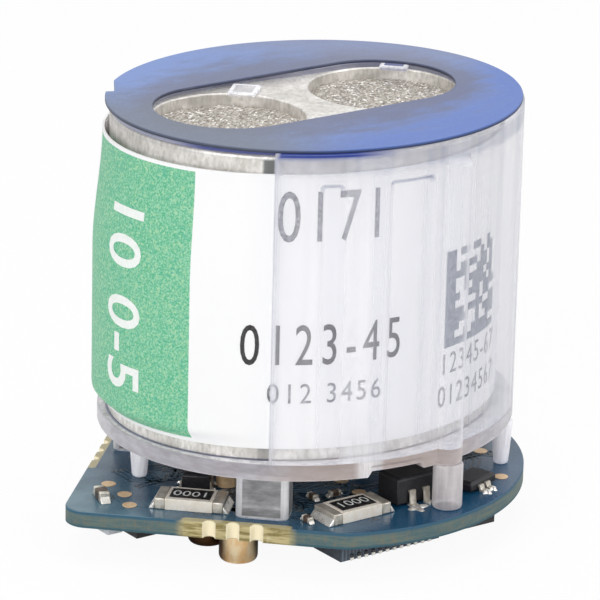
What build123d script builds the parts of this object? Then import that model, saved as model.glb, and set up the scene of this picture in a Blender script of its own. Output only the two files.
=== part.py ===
"""Plug-in combustible-gas sensor module of a portable gas detector.

An oval stainless can holds two heated beads behind sintered frits. A clear
housing clips round the can, a thin gasket seals its face, and a small round
board with a squared-off corner plugs on below through four pin sockets.
Frame: millimetres, +Z up, X along the oval's long axis, origin on the board's
underside at the centre of its round outline.
"""
from build123d import *
from math import cos, radians, sin, sqrt
import os

os.makedirs("parts", exist_ok=True)

# ---------------------------------------------------------------- board sizes
board_thickness = 0.8
board_radius = 10.3
board_flat = 9.7                 # centre to each straight edge of the square corner
board_corner_radius = 1.0
bite_radius = 0.27               # drilled breakaway holes along the straight edges
bite_pitch = 1.1
bite_count = 3
bite_middle = -1.75              # along the edge, from the foot of its normal

# -------------------------------------------------------------- housing sizes
stand_off = 2.2                  # board to housing floor
floor_thickness = 0.8
housing_a = 10.1                 # half length of the oval
housing_b = 9.15                 # half width of the oval
housing_x = -0.1                 # the oval stands this far off the board's centre
window_start = 127.0             # polar angles between which the wall is open
window_end = 224.0
lip_thickness = 0.2
cavity_clearance = 0.17          # can to housing wall
panel_depth = 0.22               # shallow moulded panels in the wall
panel_corner = 0.3
panel_bottom_gap = 0.5
panel_top_gap = 1.1
arch_height = 0.3                # shallow arch in the floor's edge
arch_corner = 0.24
arch_width = 3.0
arch_depth = 1.5
arch_angle = 99.0

block_width = 2.45               # square foot below the front of the wall
block_depth = 1.6
block_inset = 0.15               # the oval's half width to the block foot's outer face
block_shift = -0.58
block_corner = 0.3
post_radius = 0.7                # round post that runs up the wall as a rib
post_x = 1.52
post_inset = 0.15                # the oval's half width to the post's axis
small_foot_base = 0.35
small_foot_top = 0.52
small_feet = [(-8.3, 1.75), (7.1, -5.85), (7.1, 5.85)]
panels = [(120.5, 1.25), (96.5, 2.5)]  # polar angle and width

# ------------------------------------------------------------------ can sizes
can_height = 14.4
can_a = 9.425
can_b = 8.25
can_x = -0.425
can_wall = 0.4
can_edge_radius = 0.25
frit_radius = 3.5
frit_thickness = 0.6
frit_depth = 0.5                 # face of the can down to the frit
frit_shelf = 0.4                 # width and height of the shelf below the frit
frit_spacing = 8.7               # centre to centre

# --------------------------------------------------------------- gasket sizes
gasket_thickness = 0.15
gasket_margin_x = 0.15           # the housing's oval to the gasket's
gasket_margin_y = 0.2
slot_radius = 3.55
slot_spacing = 8.4               # centre to centre of the slot's round ends
slot_x = -0.38
slot_y = 0.2
slot_margin = 0.12               # the lip below the gasket stands back this far
gasket_notch_depth = 0.4         # a flat trim of the outline that ends in a step
gasket_notch_length = 3.0
gasket_notch_angle = 147.5       # polar angle of the step
clip_width = 1.35                # clear clips that hold the frits
clip_reach = 0.55                # from the frit's edge inwards
clip_length = 3.5

# ---------------------------------------------------------------- label sizes
label_thickness = 0.1
label_gap = 0.03
label_bulge = 0.8                # stands off the can in the middle of the window
label_bottom_gap = 0.6
label_top_gap = 0.85
label_points = 36
label_seam = 0.4

# ----------------------------------------------------- sensing elements' sizes
pin_radius = 0.225
pin_half_pitch = 1.4             # each pair stands this far either side of X
pin_half_span = 5.1              # pairs along X, from the can's centre
pin_top_height = 7.2             # above the can's floor
element_drop = 0.5               # pin top down to the bead's axis
pin_tip_gap = 0.45               # pin tip above the board's underside
header_thickness = 1.2
potting_thickness = 0.6
inner_fit = 0.02                 # header and divider inside the can
bead_radius = 0.55
bead_length = 1.3
bead_round = 0.25
wire_radius = 0.06
divider_thickness = 0.6

# --------------------------------------------------------- electronics' sizes
socket_radius = 0.5
socket_tail_radius = 0.4
socket_height = 1.7
socket_floor = 0.3
socket_clearance = 0.04
contact_radius = 0.9
contact_length = 1.65
contact_tail_radius = 0.45
contact_chamfer = 0.15
contact_pitch = 2.54
contact_x = -6.74
contact_y = -2.9                 # middle of the pair
resistor_length = 3.2
resistor_width = 1.6
resistor_height = 0.55
resistor_cap = 0.5
glaze_thickness = 0.03
glaze_length = 1.9
glaze_width = 1.1
large_capacitor = (1.0, 0.5, 0.5)    # length, width and height
small_capacitor = (0.6, 0.3, 0.3)
capacitor_cap = 0.25             # share of the length that each end cap takes
solder_reach = 0.28              # joints of the resistors, and of other chips
solder_height = 0.36             # in proportion to their height
pad_radius = 0.34
pad_thickness = 0.03
lead_thickness = 0.12
connector_length = 5.6
connector_width = 2.4
connector_height = 0.8
connector_x = -1.5
connector_edge = 1.5             # the board's round edge to the connector
connector_pitch = 0.4
connector_ways = 12
connector_slot_width = 0.9
connector_slot_depth = 0.5
connector_tail = 0.08
connector_contact_width = 0.18
connector_contact_height = 0.3

# ------------------------------------------------------------- worked-out levels
board_top = board_thickness
floor_bottom = board_top + stand_off
can_bottom = floor_bottom + floor_thickness
can_top = can_bottom + can_height
lip_top = can_top + lip_thickness
block_reach = housing_b - block_inset
post_y = housing_b - post_inset
gasket_a = housing_a - gasket_margin_x
gasket_b = housing_b - gasket_margin_y
connector_y = connector_edge + connector_width / 2 - board_radius
gasket_top = lip_top + gasket_thickness
frit_top = can_top - frit_depth
shelf_top = frit_top - frit_thickness
lid_bottom = shelf_top - frit_shelf
frit_places = [(can_x - frit_spacing / 2, 0), (can_x + frit_spacing / 2, 0)]
pin_places = [
    (can_x + side * pin_half_span, row * pin_half_pitch) for side in (-1, 1) for row in (-1, 1)
]
contact_places = [(contact_x, contact_y + row * contact_pitch / 2) for row in (-1, 1)]

# Chips on the board: x, y and turn in degrees.
resistor_places = [(-8.37, -2.69, -45), (-2.75, -7.5, 0)]
capacitor_places = [
    (-11.4, 0.2, 75, large_capacitor), (-3.2, -5.0, 90, small_capacitor),
    (-2.1, -5.2, 0, small_capacitor), (-5.05, -7.17, 90, small_capacitor),
]
pad_places = [
    (-10.1, 1.6), (-10.2, 0.1), (-10.75, -1.15), (-0.7, -3.8),
    (-0.87, -5.44), (3.3, -4.05), (7.2, -4.15), (5.95, -7.35),
]
# Packages on the board: x, y and turn in degrees, then their sizes.
amplifier_place = (-6.83, -0.85, 50)
amplifier_length = 1.2
amplifier_width = 1.3
amplifier_height = 0.75
amplifier_lead_places = (-0.35, 0.35)
amplifier_lead_reach = 0.15
regulator_place = (0.75, -7.2, 0)
regulator_length = 2.6
regulator_width = 1.5
regulator_height = 1.3
regulator_lead_places = (0.51, -0.29)
regulator_lead_reach = 0.38
reference_place = (4.12, -7.5, 18)
reference_length = 2.0
reference_width = 1.3
reference_height = 0.45
reference_lead_places = (-0.2, 0.3)
reference_lead_reach = 0.35
package_lift = 0.1
lead_width = 0.34
package_bevel = 0.12
lead_shoulder = 0.5              # up the body's side
lead_knee = 0.35                 # shares of the lead's reach
lead_toe = 0.55
# Chips below the board: x, y, length, width, height.
underside_chips = {
    "memory_chip": (2.98, -8.45, 2.2, 1.8, 0.4),
    "driver_chip": (-10.1, -1.2, 1.6, 1.6, 0.55),
    "filter_chip": (-11.45, -0.55, 0.8, 1.0, 0.5),
}


def wall_plane(angle, height):
    """Plane touching the housing's oval at a polar angle, its normal outwards."""
    turn = radians(angle)
    reach = 1 / sqrt((cos(turn) / housing_a) ** 2 + (sin(turn) / housing_b) ** 2)
    x, y = reach * cos(turn), reach * sin(turn)
    normal = Vector(x / housing_a**2, y / housing_b**2, 0).normalized()
    tangent = Vector(-normal.Y, normal.X, 0)
    return Plane(origin=(housing_x + x, y, height), x_dir=tangent, z_dir=normal)


def window_wedge():
    """Corners of the wedge that leaves the wall open."""
    far = 2 * housing_a
    ends = [radians(window_start), radians(window_end)]
    return [(0, 0)] + [(far * cos(turn), far * sin(turn)) for turn in ends]


def label_loop(offset):
    """Points round the can at a distance, swelling away from it in the window."""
    middle = radians(window_start + window_end) / 2
    edge = cos(middle - radians(window_start))
    points = []
    for step in range(label_points):
        turn = radians(360 * step / label_points)
        radius = 1 / sqrt((cos(turn) / can_a) ** 2 + (sin(turn) / can_b) ** 2)
        share = max(0.0, (cos(turn - middle) - edge) / (1 - edge))
        radius += offset + label_bulge * share
        points.append((can_x + radius * cos(turn), radius * sin(turn)))
    return points


def chip_plane(place, height):
    """Plane lying on the board at a chip's place, turned with the chip."""
    x, y, turn = place[:3]
    return Plane(origin=(x, y, height), x_dir=(cos(radians(turn)), sin(radians(turn)), 0), z_dir=(0, 0, 1))


def along_edge(distance, side):
    """Point on one of the two straight edges, from the foot of its normal."""
    foot = board_flat / sqrt(2)
    step = distance / sqrt(2)
    return (-foot + step, side * (foot + step))


# =============================================================== circuit board
with BuildPart() as circuit_board:
    with BuildSketch() as board_outline:
        Circle(board_radius)
        with Locations((-board_flat / sqrt(2), 0)):
            Rectangle(board_flat, board_flat, rotation=45)
        trim = 3 * board_radius
        with Locations(((trim - 2 * board_flat) / sqrt(2), 0)):
            Rectangle(trim, trim, rotation=45, mode=Mode.INTERSECT)
        fillet(board_outline.vertices().sort_by(Axis.X)[0], board_corner_radius)
        for side in (-1, 1):
            first = bite_middle - bite_pitch * (bite_count - 1) / 2
            for hole in range(bite_count):
                with Locations(along_edge(first + hole * bite_pitch, side)):
                    Circle(bite_radius, mode=Mode.SUBTRACT)
    extrude(amount=board_thickness)
    with Locations(*[(x, y, board_top) for x, y in pin_places]):
        Hole(socket_tail_radius, depth=board_thickness)
    with Locations(*[(x, y, board_top) for x, y in contact_places]):
        Hole(contact_tail_radius, depth=board_thickness)
circuit_board.part.label = "circuit_board"
export_step(circuit_board.part, "parts/circuit_board.step")

# ================================================================ pin sockets
with BuildPart() as pin_sockets:
    with Locations(*pin_places):
        Cylinder(socket_tail_radius, board_thickness, align=(Align.CENTER, Align.CENTER, Align.MIN))
    with Locations(*[(x, y, board_top) for x, y in pin_places]):
        Cylinder(socket_radius, socket_height, align=(Align.CENTER, Align.CENTER, Align.MIN))
    with Locations(*[(x, y, board_top + socket_height) for x, y in pin_places]):
        Hole(pin_radius + socket_clearance, depth=board_top + socket_height - socket_floor)
pin_sockets.part.label = "pin_sockets"
export_step(pin_sockets.part, "parts/pin_sockets.step")

# =============================================================== contact pins
with BuildPart() as contact_pins:
    with Locations(*contact_places):
        Cylinder(contact_radius, contact_length, align=(Align.CENTER, Align.CENTER, Align.MAX))
        Cylinder(contact_tail_radius, board_thickness, align=(Align.CENTER, Align.CENTER, Align.MIN))
    chamfer(contact_pins.edges().filter_by(GeomType.CIRCLE).group_by(Axis.Z)[0], contact_chamfer)
contact_pins.part.label = "contact_pins"
export_step(contact_pins.part, "parts/contact_pins.step")

# ============================================================= chip resistors
with BuildPart() as resistor_bodies:
    for place in resistor_places:
        with BuildSketch(chip_plane(place, board_top)):
            Rectangle(resistor_length - 2 * resistor_cap, resistor_width)
        extrude(amount=resistor_height)
resistor_bodies.part.label = "resistor_bodies"
export_step(resistor_bodies.part, "parts/resistor_bodies.step")

with BuildPart() as resistor_end_caps:
    for place in resistor_places:
        with BuildSketch(chip_plane(place, board_top)):
            with GridLocations(resistor_length - resistor_cap, 1, 2, 1):
                Rectangle(resistor_cap, resistor_width)
        extrude(amount=resistor_height)
resistor_end_caps.part.label = "resistor_end_caps"
export_step(resistor_end_caps.part, "parts/resistor_end_caps.step")

with BuildPart() as resistor_glaze:
    for place in resistor_places:
        with BuildSketch(chip_plane(place, board_top + resistor_height)):
            Rectangle(glaze_length, glaze_width)
        extrude(amount=glaze_thickness)
resistor_glaze.part.label = "resistor_glaze"
export_step(resistor_glaze.part, "parts/resistor_glaze.step")

# ============================================================ chip capacitors
with BuildPart() as capacitor_bodies:
    for *place, (length, width, height) in capacitor_places:
        with BuildSketch(chip_plane(place, board_top)):
            Rectangle(length * (1 - 2 * capacitor_cap), width)
        extrude(amount=height)
capacitor_bodies.part.label = "capacitor_bodies"
export_step(capacitor_bodies.part, "parts/capacitor_bodies.step")

with BuildPart() as capacitor_end_caps:
    for *place, (length, width, height) in capacitor_places:
        with BuildSketch(chip_plane(place, board_top)):
            with GridLocations(length * (1 - capacitor_cap), 1, 2, 1):
                Rectangle(length * capacitor_cap, width)
        extrude(amount=height)
capacitor_end_caps.part.label = "capacitor_end_caps"
export_step(capacitor_end_caps.part, "parts/capacitor_end_caps.step")

# ============================================================== solder joints
with BuildPart() as solder_joints:
    chips = [(place, resistor_length, resistor_width, resistor_height) for place in resistor_places]
    chips += [(place, *sizes) for *place, sizes in capacitor_places]
    for place, length, width, height in chips:
        share = height / resistor_height
        for end in (-1, 1):
            flat = chip_plane(place, board_top)
            corner = flat.from_local_coords(Vector(end * length / 2, width / 2, 0))
            with BuildSketch(Plane(origin=corner, x_dir=flat.x_dir * end, z_dir=flat.y_dir * -end)):
                Polygon((0, 0), (solder_reach * share, 0), (0, solder_height * share), align=None)
            extrude(amount=width * end)
solder_joints.part.label = "solder_joints"
export_step(solder_joints.part, "parts/solder_joints.step")

# ============================================================ leaded packages
packages = {
    "amplifier_chip": (
        amplifier_place, amplifier_length, amplifier_width, amplifier_height,
        amplifier_lead_places, amplifier_lead_reach,
    ),
    "regulator_chip": (
        regulator_place, regulator_length, regulator_width, regulator_height,
        regulator_lead_places, regulator_lead_reach,
    ),
    "reference_chip": (
        reference_place, reference_length, reference_width, reference_height,
        reference_lead_places, reference_lead_reach,
    ),
}
for name, (chip, length, width, height, _, _) in packages.items():
    with BuildPart() as body:
        with BuildSketch(chip_plane(chip, board_top + package_lift)):
            Rectangle(length, width)
        extrude(amount=height)
        chamfer(body.edges().group_by(Axis.Z)[-1], package_bevel)
    body.part.label = name
    export_step(body.part, f"parts/{name}.step")


def lead_planes(chip, width, places):
    """Planes across each lead: x outwards from the body's long sides, y up."""
    flat = chip_plane(chip, board_top)
    planes = []
    for side in (-1, 1):
        for place in places:
            root = flat.from_local_coords(Vector(place * side, side * width / 2, 0))
            planes.append(Plane(origin=root, x_dir=flat.y_dir * side, z_dir=flat.x_dir * side))
    return planes


with BuildPart() as chip_leads:
    for chip, _, width, height, places, reach in packages.values():
        shoulder = package_lift + height * lead_shoulder
        for plane in lead_planes(chip, width, places):
            with BuildSketch(plane):
                Polygon(
                    (0, shoulder),
                    (reach * lead_knee, shoulder),
                    (reach * lead_toe, lead_thickness),
                    (reach, lead_thickness),
                    (reach, 0),
                    (reach * lead_toe - lead_thickness * 0.7, 0),
                    (reach * lead_knee - lead_thickness * 0.7, shoulder - lead_thickness),
                    (0, shoulder - lead_thickness),
                    align=None,
                )
            extrude(amount=lead_width / 2, both=True)
chip_leads.part.label = "chip_leads"
export_step(chip_leads.part, "parts/chip_leads.step")

# ================================================================== test pads
with BuildPart() as test_pads:
    with Locations(*[(x, y, board_top) for x, y in pad_places]):
        Cylinder(pad_radius, pad_thickness, align=(Align.CENTER, Align.CENTER, Align.MIN))
test_pads.part.label = "test_pads"
export_step(test_pads.part, "parts/test_pads.step")

# ============================================================ board connector
with BuildPart() as board_connector:
    with Locations((connector_x, connector_y, 0)):
        Box(
            connector_length, connector_width, connector_height,
            align=(Align.CENTER, Align.CENTER, Align.MAX),
        )
    with Locations((connector_x, connector_y, -connector_height)):
        Box(
            connector_pitch * connector_ways, connector_slot_width, connector_slot_depth,
            align=(Align.CENTER, Align.CENTER, Align.MIN), mode=Mode.SUBTRACT,
        )
board_connector.part.label = "board_connector"
export_step(board_connector.part, "parts/board_connector.step")

with BuildPart() as connector_contacts:
    with Locations((connector_x, connector_y, -connector_height)):
        with GridLocations(connector_pitch, connector_width + connector_tail, connector_ways, 2):
            Box(
                connector_contact_width, connector_tail, connector_contact_height,
                align=(Align.CENTER, Align.CENTER, Align.MIN),
            )
connector_contacts.part.label = "connector_contacts"
export_step(connector_contacts.part, "parts/connector_contacts.step")

# ======================================================= chips below the board
for name, (x, y, length, width, height) in underside_chips.items():
    with BuildPart() as chip:
        with Locations((x, y, 0)):
            Box(length, width, height, align=(Align.CENTER, Align.CENTER, Align.MAX))
    chip.part.label = name
    export_step(chip.part, f"parts/{name}.step")

# ================================================================= sensor can
with BuildPart() as sensor_can:
    with BuildSketch(Plane.XY.offset(can_bottom)):
        with Locations((can_x, 0)):
            Ellipse(can_a, can_b)
    extrude(amount=can_height)
    fillet(sensor_can.faces().sort_by(Axis.Z)[-1].outer_wire().edges(), can_edge_radius)
    with BuildSketch(Plane.XY.offset(can_bottom)):
        with Locations((can_x, 0)):
            Ellipse(can_a - can_wall, can_b - can_wall)
    extrude(amount=lid_bottom - can_bottom, mode=Mode.SUBTRACT)
    with Locations(*[(x, y, can_top) for x, y in frit_places]):
        Hole(frit_radius, depth=can_top - shelf_top)
        Hole(frit_radius - frit_shelf, depth=can_top - lid_bottom)
sensor_can.part.label = "sensor_can"
export_step(sensor_can.part, "parts/sensor_can.step")

# ====================================================================== frits
for name, (x, y) in zip(("detector_frit", "compensator_frit"), frit_places):
    with BuildPart() as frit:
        with Locations((x, y, shelf_top)):
            Cylinder(frit_radius, frit_thickness, align=(Align.CENTER, Align.CENTER, Align.MIN))
    frit.part.label = name
    export_step(frit.part, f"parts/{name}.step")

# ===================================================== header, potting, divider
inner_a = can_a - can_wall - inner_fit
inner_b = can_b - can_wall - inner_fit
header_bottom = can_bottom + potting_thickness
header_top = header_bottom + header_thickness

with BuildPart() as potting:
    with BuildSketch(Plane.XY.offset(can_bottom)):
        with Locations((can_x, 0)):
            Ellipse(inner_a, inner_b)
        with Locations(*pin_places):
            Circle(pin_radius, mode=Mode.SUBTRACT)
    extrude(amount=potting_thickness)
potting.part.label = "potting"
export_step(potting.part, "parts/potting.step")

with BuildPart() as header:
    with BuildSketch(Plane.XY.offset(header_bottom)):
        with Locations((can_x, 0)):
            Ellipse(inner_a, inner_b)
        with Locations(*pin_places):
            Circle(pin_radius, mode=Mode.SUBTRACT)
    extrude(amount=header_thickness)
header.part.label = "header"
export_step(header.part, "parts/header.step")

with BuildPart() as divider:
    with BuildSketch(Plane.XY.offset(header_top)):
        with Locations((can_x, 0)):
            Rectangle(divider_thickness, 2 * (inner_b - inner_fit))
    extrude(amount=lid_bottom - header_top)
divider.part.label = "divider"
export_step(divider.part, "parts/divider.step")

# ============================================================ pins and elements
pin_top = can_bottom + pin_top_height
with BuildPart() as sensor_pins:
    with Locations(*[(x, y, pin_tip_gap) for x, y in pin_places]):
        Cylinder(pin_radius, pin_top - pin_tip_gap, align=(Align.CENTER, Align.CENTER, Align.MIN))
sensor_pins.part.label = "sensor_pins"
export_step(sensor_pins.part, "parts/sensor_pins.step")

element_height = pin_top - element_drop
wire_end = pin_half_pitch - pin_radius

for name, side in (("detector_element", -1), ("compensator_element", 1)):
    middle = (can_x + side * pin_half_span, 0, element_height)
    with BuildPart() as element:
        with Locations(Location(middle, (90, 0, 0))):
            Cylinder(bead_radius, bead_length)
            fillet(element.edges().filter_by(GeomType.CIRCLE), bead_round)
            Cylinder(wire_radius, 2 * wire_end)
    element.part.label = name
    export_step(element.part, f"parts/{name}.step")

# ================================================================= wrap label
with BuildPart() as wrap_label:
    with BuildSketch(Plane.XY.offset(can_bottom + label_bottom_gap)):
        with BuildLine():
            Spline(*label_loop(label_gap + label_thickness), periodic=True)
        make_face()
        with BuildLine():
            Spline(*label_loop(label_gap), periodic=True)
        make_face(mode=Mode.SUBTRACT)
        with Locations((can_x, can_b)):
            Rectangle(label_seam, can_b, mode=Mode.SUBTRACT)
    extrude(amount=can_height - label_bottom_gap - label_top_gap)
wrap_label.part.label = "wrap_label"
export_step(wrap_label.part, "parts/wrap_label.step")

# ============================================================== clear housing
floor_top = can_bottom
with BuildPart() as clear_housing:
    # Floor and wall, with the posts that run up the wall as ribs.
    with BuildSketch(Plane.XY.offset(floor_bottom)):
        with Locations((housing_x, 0)):
            Ellipse(housing_a, housing_b)
    extrude(amount=lip_top - floor_bottom)
    with Locations(*[(post_x, side * post_y, board_top) for side in (-1, 1)]):
        Cylinder(
            post_radius, can_top - panel_bottom_gap - board_top,
            align=(Align.CENTER, Align.CENTER, Align.MIN),
        )
    # Hollow for the can and its label.
    with BuildSketch(Plane.XY.offset(floor_top)):
        with Locations((can_x, 0)):
            Ellipse(can_a + cavity_clearance, can_b + cavity_clearance)
    extrude(amount=can_height, mode=Mode.SUBTRACT)
    # Window in the wall. Over it the lip is only as wide as the can.
    with BuildSketch(Plane.XY.offset(floor_top)):
        Polygon(*window_wedge(), align=None)
    extrude(amount=can_height + lip_thickness, mode=Mode.SUBTRACT)
    with BuildSketch(Plane.XY.offset(can_top)):
        with Locations((can_x, 0)):
            Ellipse(can_a, can_b)
    extrude(amount=lip_thickness)
    with BuildSketch(Plane.XY.offset(can_top)):
        with Locations((slot_x, slot_y)):
            SlotCenterToCenter(slot_spacing, 2 * (slot_radius + slot_margin))
    extrude(amount=lip_thickness, mode=Mode.SUBTRACT)
    # Clips that reach in from the lip over the frits.
    for x, y in frit_places:
        with BuildSketch(Plane(origin=(x, y, can_top), x_dir=(1, 1, 0), z_dir=(0, 0, 1))):
            with Locations((frit_radius - clip_reach, 0)):
                Rectangle(clip_length, clip_width, align=(Align.MIN, Align.CENTER))
        extrude(amount=lip_thickness)
    # Shallow panels in the wall, round its outside.
    for angle, width in panels:
        for side in (-1, 1):
            middle = (floor_top + panel_bottom_gap + can_top - panel_top_gap) / 2
            with BuildSketch(wall_plane(side * angle, middle)):
                RectangleRounded(
                    width, can_height - panel_bottom_gap - panel_top_gap, panel_corner
                )
            extrude(amount=panel_depth, both=True, mode=Mode.SUBTRACT)
    # Shallow arches in the floor's edge.
    for side in (-1, 1):
        with BuildSketch(wall_plane(side * arch_angle, floor_bottom)):
            RectangleRounded(arch_width, 2 * arch_height, arch_corner)
        extrude(amount=arch_depth, both=True, mode=Mode.SUBTRACT)
    # Block feet and tapered feet.
    for side in (-1, 1):
        with BuildSketch(Plane(
            origin=(0, 0, board_top), x_dir=(-1, side, 0), z_dir=(0, 0, 1)
        )):
            with Locations((block_reach, side * -block_shift)):
                RectangleRounded(
                    block_depth, block_width, block_corner, align=(Align.MAX, Align.CENTER)
                )
        extrude(amount=stand_off)
    with Locations(*[(x, y, board_top) for x, y in small_feet]):
        Cone(
            small_foot_base, small_foot_top, stand_off,
            align=(Align.CENTER, Align.CENTER, Align.MIN),
        )
    # Holes that the sensor's pins pass through.
    with Locations(*[(x, y, floor_top) for x, y in pin_places]):
        Hole(pin_radius + socket_clearance, depth=floor_thickness)
clear_housing.part.label = "clear_housing"
export_step(clear_housing.part, "parts/clear_housing.step")

# ================================================================ face gasket
with BuildPart() as face_gasket:
    with BuildSketch(Plane.XY.offset(lip_top)):
        Ellipse(gasket_a, gasket_b)
        with Locations((slot_x, slot_y)):
            SlotCenterToCenter(slot_spacing, 2 * slot_radius, mode=Mode.SUBTRACT)
        turn = radians(gasket_notch_angle)
        reach = 1 / sqrt((cos(turn) / gasket_a) ** 2 + (sin(turn) / gasket_b) ** 2)
        reach -= gasket_notch_depth
        with Locations(Location((reach * cos(turn), reach * sin(turn)), gasket_notch_angle)):
            Rectangle(
                gasket_notch_length, gasket_notch_length,
                align=(Align.MIN, Align.MAX), mode=Mode.SUBTRACT,
            )
    extrude(amount=gasket_thickness)
face_gasket.part.label = "face_gasket"
export_step(face_gasket.part, "parts/face_gasket.step")
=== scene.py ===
"""Looks of a plug-in gas sensor module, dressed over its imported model.

Lengths are in millimetres and angles in degrees unless a name says otherwise.
Shapes are worked out as numpy arrays, and piece() turns them into metres.
Angles run about the origin, 0 at +X and 90 at +Y; the housing is open at 180.
"""
import math

import bmesh
import bpy
import numpy as np
from mathutils import Matrix, Vector


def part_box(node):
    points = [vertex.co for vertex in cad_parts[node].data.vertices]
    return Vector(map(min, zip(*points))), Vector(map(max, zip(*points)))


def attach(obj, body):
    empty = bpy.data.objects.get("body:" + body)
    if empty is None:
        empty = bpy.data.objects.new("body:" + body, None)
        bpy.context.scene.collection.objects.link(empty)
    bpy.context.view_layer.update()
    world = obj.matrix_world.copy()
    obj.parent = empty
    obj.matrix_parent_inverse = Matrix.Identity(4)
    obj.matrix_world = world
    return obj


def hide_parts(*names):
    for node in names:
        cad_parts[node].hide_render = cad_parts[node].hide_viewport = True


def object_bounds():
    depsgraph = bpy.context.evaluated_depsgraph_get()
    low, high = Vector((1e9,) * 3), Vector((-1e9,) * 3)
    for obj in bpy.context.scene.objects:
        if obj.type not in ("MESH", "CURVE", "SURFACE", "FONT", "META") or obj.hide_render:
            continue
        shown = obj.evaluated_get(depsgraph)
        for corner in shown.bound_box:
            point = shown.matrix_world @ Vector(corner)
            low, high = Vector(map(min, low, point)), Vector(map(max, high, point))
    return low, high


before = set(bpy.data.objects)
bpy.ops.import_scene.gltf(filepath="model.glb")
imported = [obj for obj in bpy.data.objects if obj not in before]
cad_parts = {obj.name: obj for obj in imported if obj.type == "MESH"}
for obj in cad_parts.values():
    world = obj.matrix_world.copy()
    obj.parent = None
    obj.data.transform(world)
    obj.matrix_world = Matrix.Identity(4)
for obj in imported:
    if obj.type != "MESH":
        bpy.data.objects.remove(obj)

cad_low, cad_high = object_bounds()
MM = 0.001
merge_distance = 0.0001 * MM
PACK = "sensor_pack"
BOARD = "board_assembly"


def corners(node):
    """Lowest and highest corner of a CAD node, in millimetres."""
    low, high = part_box(node)
    return np.array(low) / MM, np.array(high) / MM


# ------------------------------------------------------------ sizes of the frame
_, board_high = corners("circuit_board")
can_low, can_high = corners("sensor_can")
film_low, film_high = corners("face_gasket")
label_low, label_high = corners("wrap_label")
frit_low, frit_high = corners("detector_frit")
far_frit_low, _ = corners("compensator_frit")
board_top = board_high[2]
board_radius = board_high[0]
can_x = (can_low[0] + can_high[0]) / 2
can_a = (can_high[0] - can_low[0]) / 2
can_b = can_high[1]
can_bottom, can_top = can_low[2], can_high[2]
film_a, film_b = film_high[0], film_high[1]
film_bottom, film_top = film_low[2], film_high[2]
label_bottom, label_top = label_low[2], label_high[2]
frit_radius = (frit_high[0] - frit_low[0]) / 2
frit_bottom, frit_top = frit_low[2], frit_high[2]
frit_centres = [(low[0] + frit_radius, 0.0) for low in (frit_low, far_frit_low)]

# Named as in the CAD source.
stand_off = 2.2
board_flat = 9.7
board_corner_radius = 1.0
bite_radius = 0.27
bite_pitch = 1.1
bite_count = 3
bite_middle = -1.75
housing_a = 10.1
housing_b = 9.15
housing_x = -0.1
floor_bottom = board_top + stand_off
window_start = 127.0
window_end = 224.0
cavity_clearance = 0.17
panel_depth = 0.22
panel_corner = 0.3
panel_bottom_gap = 0.5
panel_top_gap = 1.1
panels = [(120.5, 1.25), (96.5, 2.5)]
arch_angle = 99.0
arch_width = 3.0
arch_height = 0.3
arch_depth = 1.5
block_width = 2.45
block_depth = 1.6
block_inset = 0.15
block_reach = housing_b - block_inset
block_shift = -0.58
block_corner = 0.3
post_radius = 0.7
post_x = 1.52
post_inset = 0.15
post_y = housing_b - post_inset
small_foot_base = 0.35
small_foot_top = 0.52
small_feet = [(-8.3, 1.75), (7.1, -5.85), (7.1, 5.85)]
slot_radius = 3.55
slot_spacing = 8.4
slot_x = -0.38
slot_y = 0.2
slot_margin = 0.12
gasket_notch_depth = 0.4
gasket_notch_length = 3.0
gasket_notch_angle = 147.5
clip_width = 1.35
clip_reach = 0.55
clip_length = 3.5
label_thickness = 0.1
label_gap = 0.03
contact_tail_radius = 0.45

# Sizes of the looks alone.
# The figures on the resistors: x, y and the direction in which they read.
figure_places = {"left": (-8.37, -2.69, 135.0), "right": (-2.75, -7.5, 0.0)}
seam_angle = 1.4                 # half the label's open seam, in degrees
ink_rise = 0.012                 # thickness of the print on the label
clip_head = 1.6                  # length of a clip's head, which has painted highlights
grain_depth = 0.06
# Leaded packages: place, turn, width, each lead's place and solder, and lead reach.
lead_groups = [
    ((-6.83, -0.85), 50, 1.3, ((-0.35, 0.1), (0.35, 0.1)), 0.15),
    ((0.75, -7.2), 0, 1.5, ((0.51, 0.42), (-0.29, 0.06)), 0.38),
    ((4.12, -7.5), 18, 1.3, ((-0.2, 0.2), (0.3, 0.24)), 0.35),
]
highlight_side = -118.0               # direction of the brass pins' painted highlight, with a painted dark reflection round it
contact_bright = -0.66           # height below which the connector's contacts are bright
bare_middle = bite_middle + 0.15
bare_half = 2.6                  # half the bare stretch of the board's edge round its holes
track_bundles = 105
track_margin = 0.9               # least distance from a track to the board's outline
track_width = 0.13
track_pitch = 0.27
track_height = 0.012
shade_strip_angle = -138.3             # a strip of painted shade down the can, beside the housing's edge
shade_strip_width = 0.6
# Soft streaks of painted shade in the clear wall: angle, width in degrees and strength.
wall_shade_streaks = [
    (-135.3, 0.8, 0.35), (-127.0, 1.4, 0.10), (-113.8, 0.9, 0.12), (-103.9, 0.9, 0.14),
    (-91.0, 2.0, 0.22), (-86.8, 1.4, 0.30), (-78.5, 1.0, 0.12), (-72.0, 0.8, 0.22),
    (-60.0, 2.5, 0.12), (-47.0, 2.5, 0.18), (60.0, 3.0, 0.12), (88.0, 2.0, 0.25),
    (104.0, 1.0, 0.12), (114.0, 1.0, 0.12), (126.3, 0.8, 0.35),
]


# ------------------------------------------------------------------ mesh helpers
def quads(rows, columns, wrap_rows, wrap_columns):
    """Faces of a grid whose points are numbered row by row."""
    i, j = np.meshgrid(
        np.arange(rows if wrap_rows else rows - 1),
        np.arange(columns if wrap_columns else columns - 1),
        indexing="ij",
    )
    next_i, next_j = (i + 1) % rows, (j + 1) % columns
    faces = [i * columns + j, i * columns + next_j, next_i * columns + next_j, next_i * columns + j]
    return np.stack(faces, -1).reshape(-1, 4)


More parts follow.
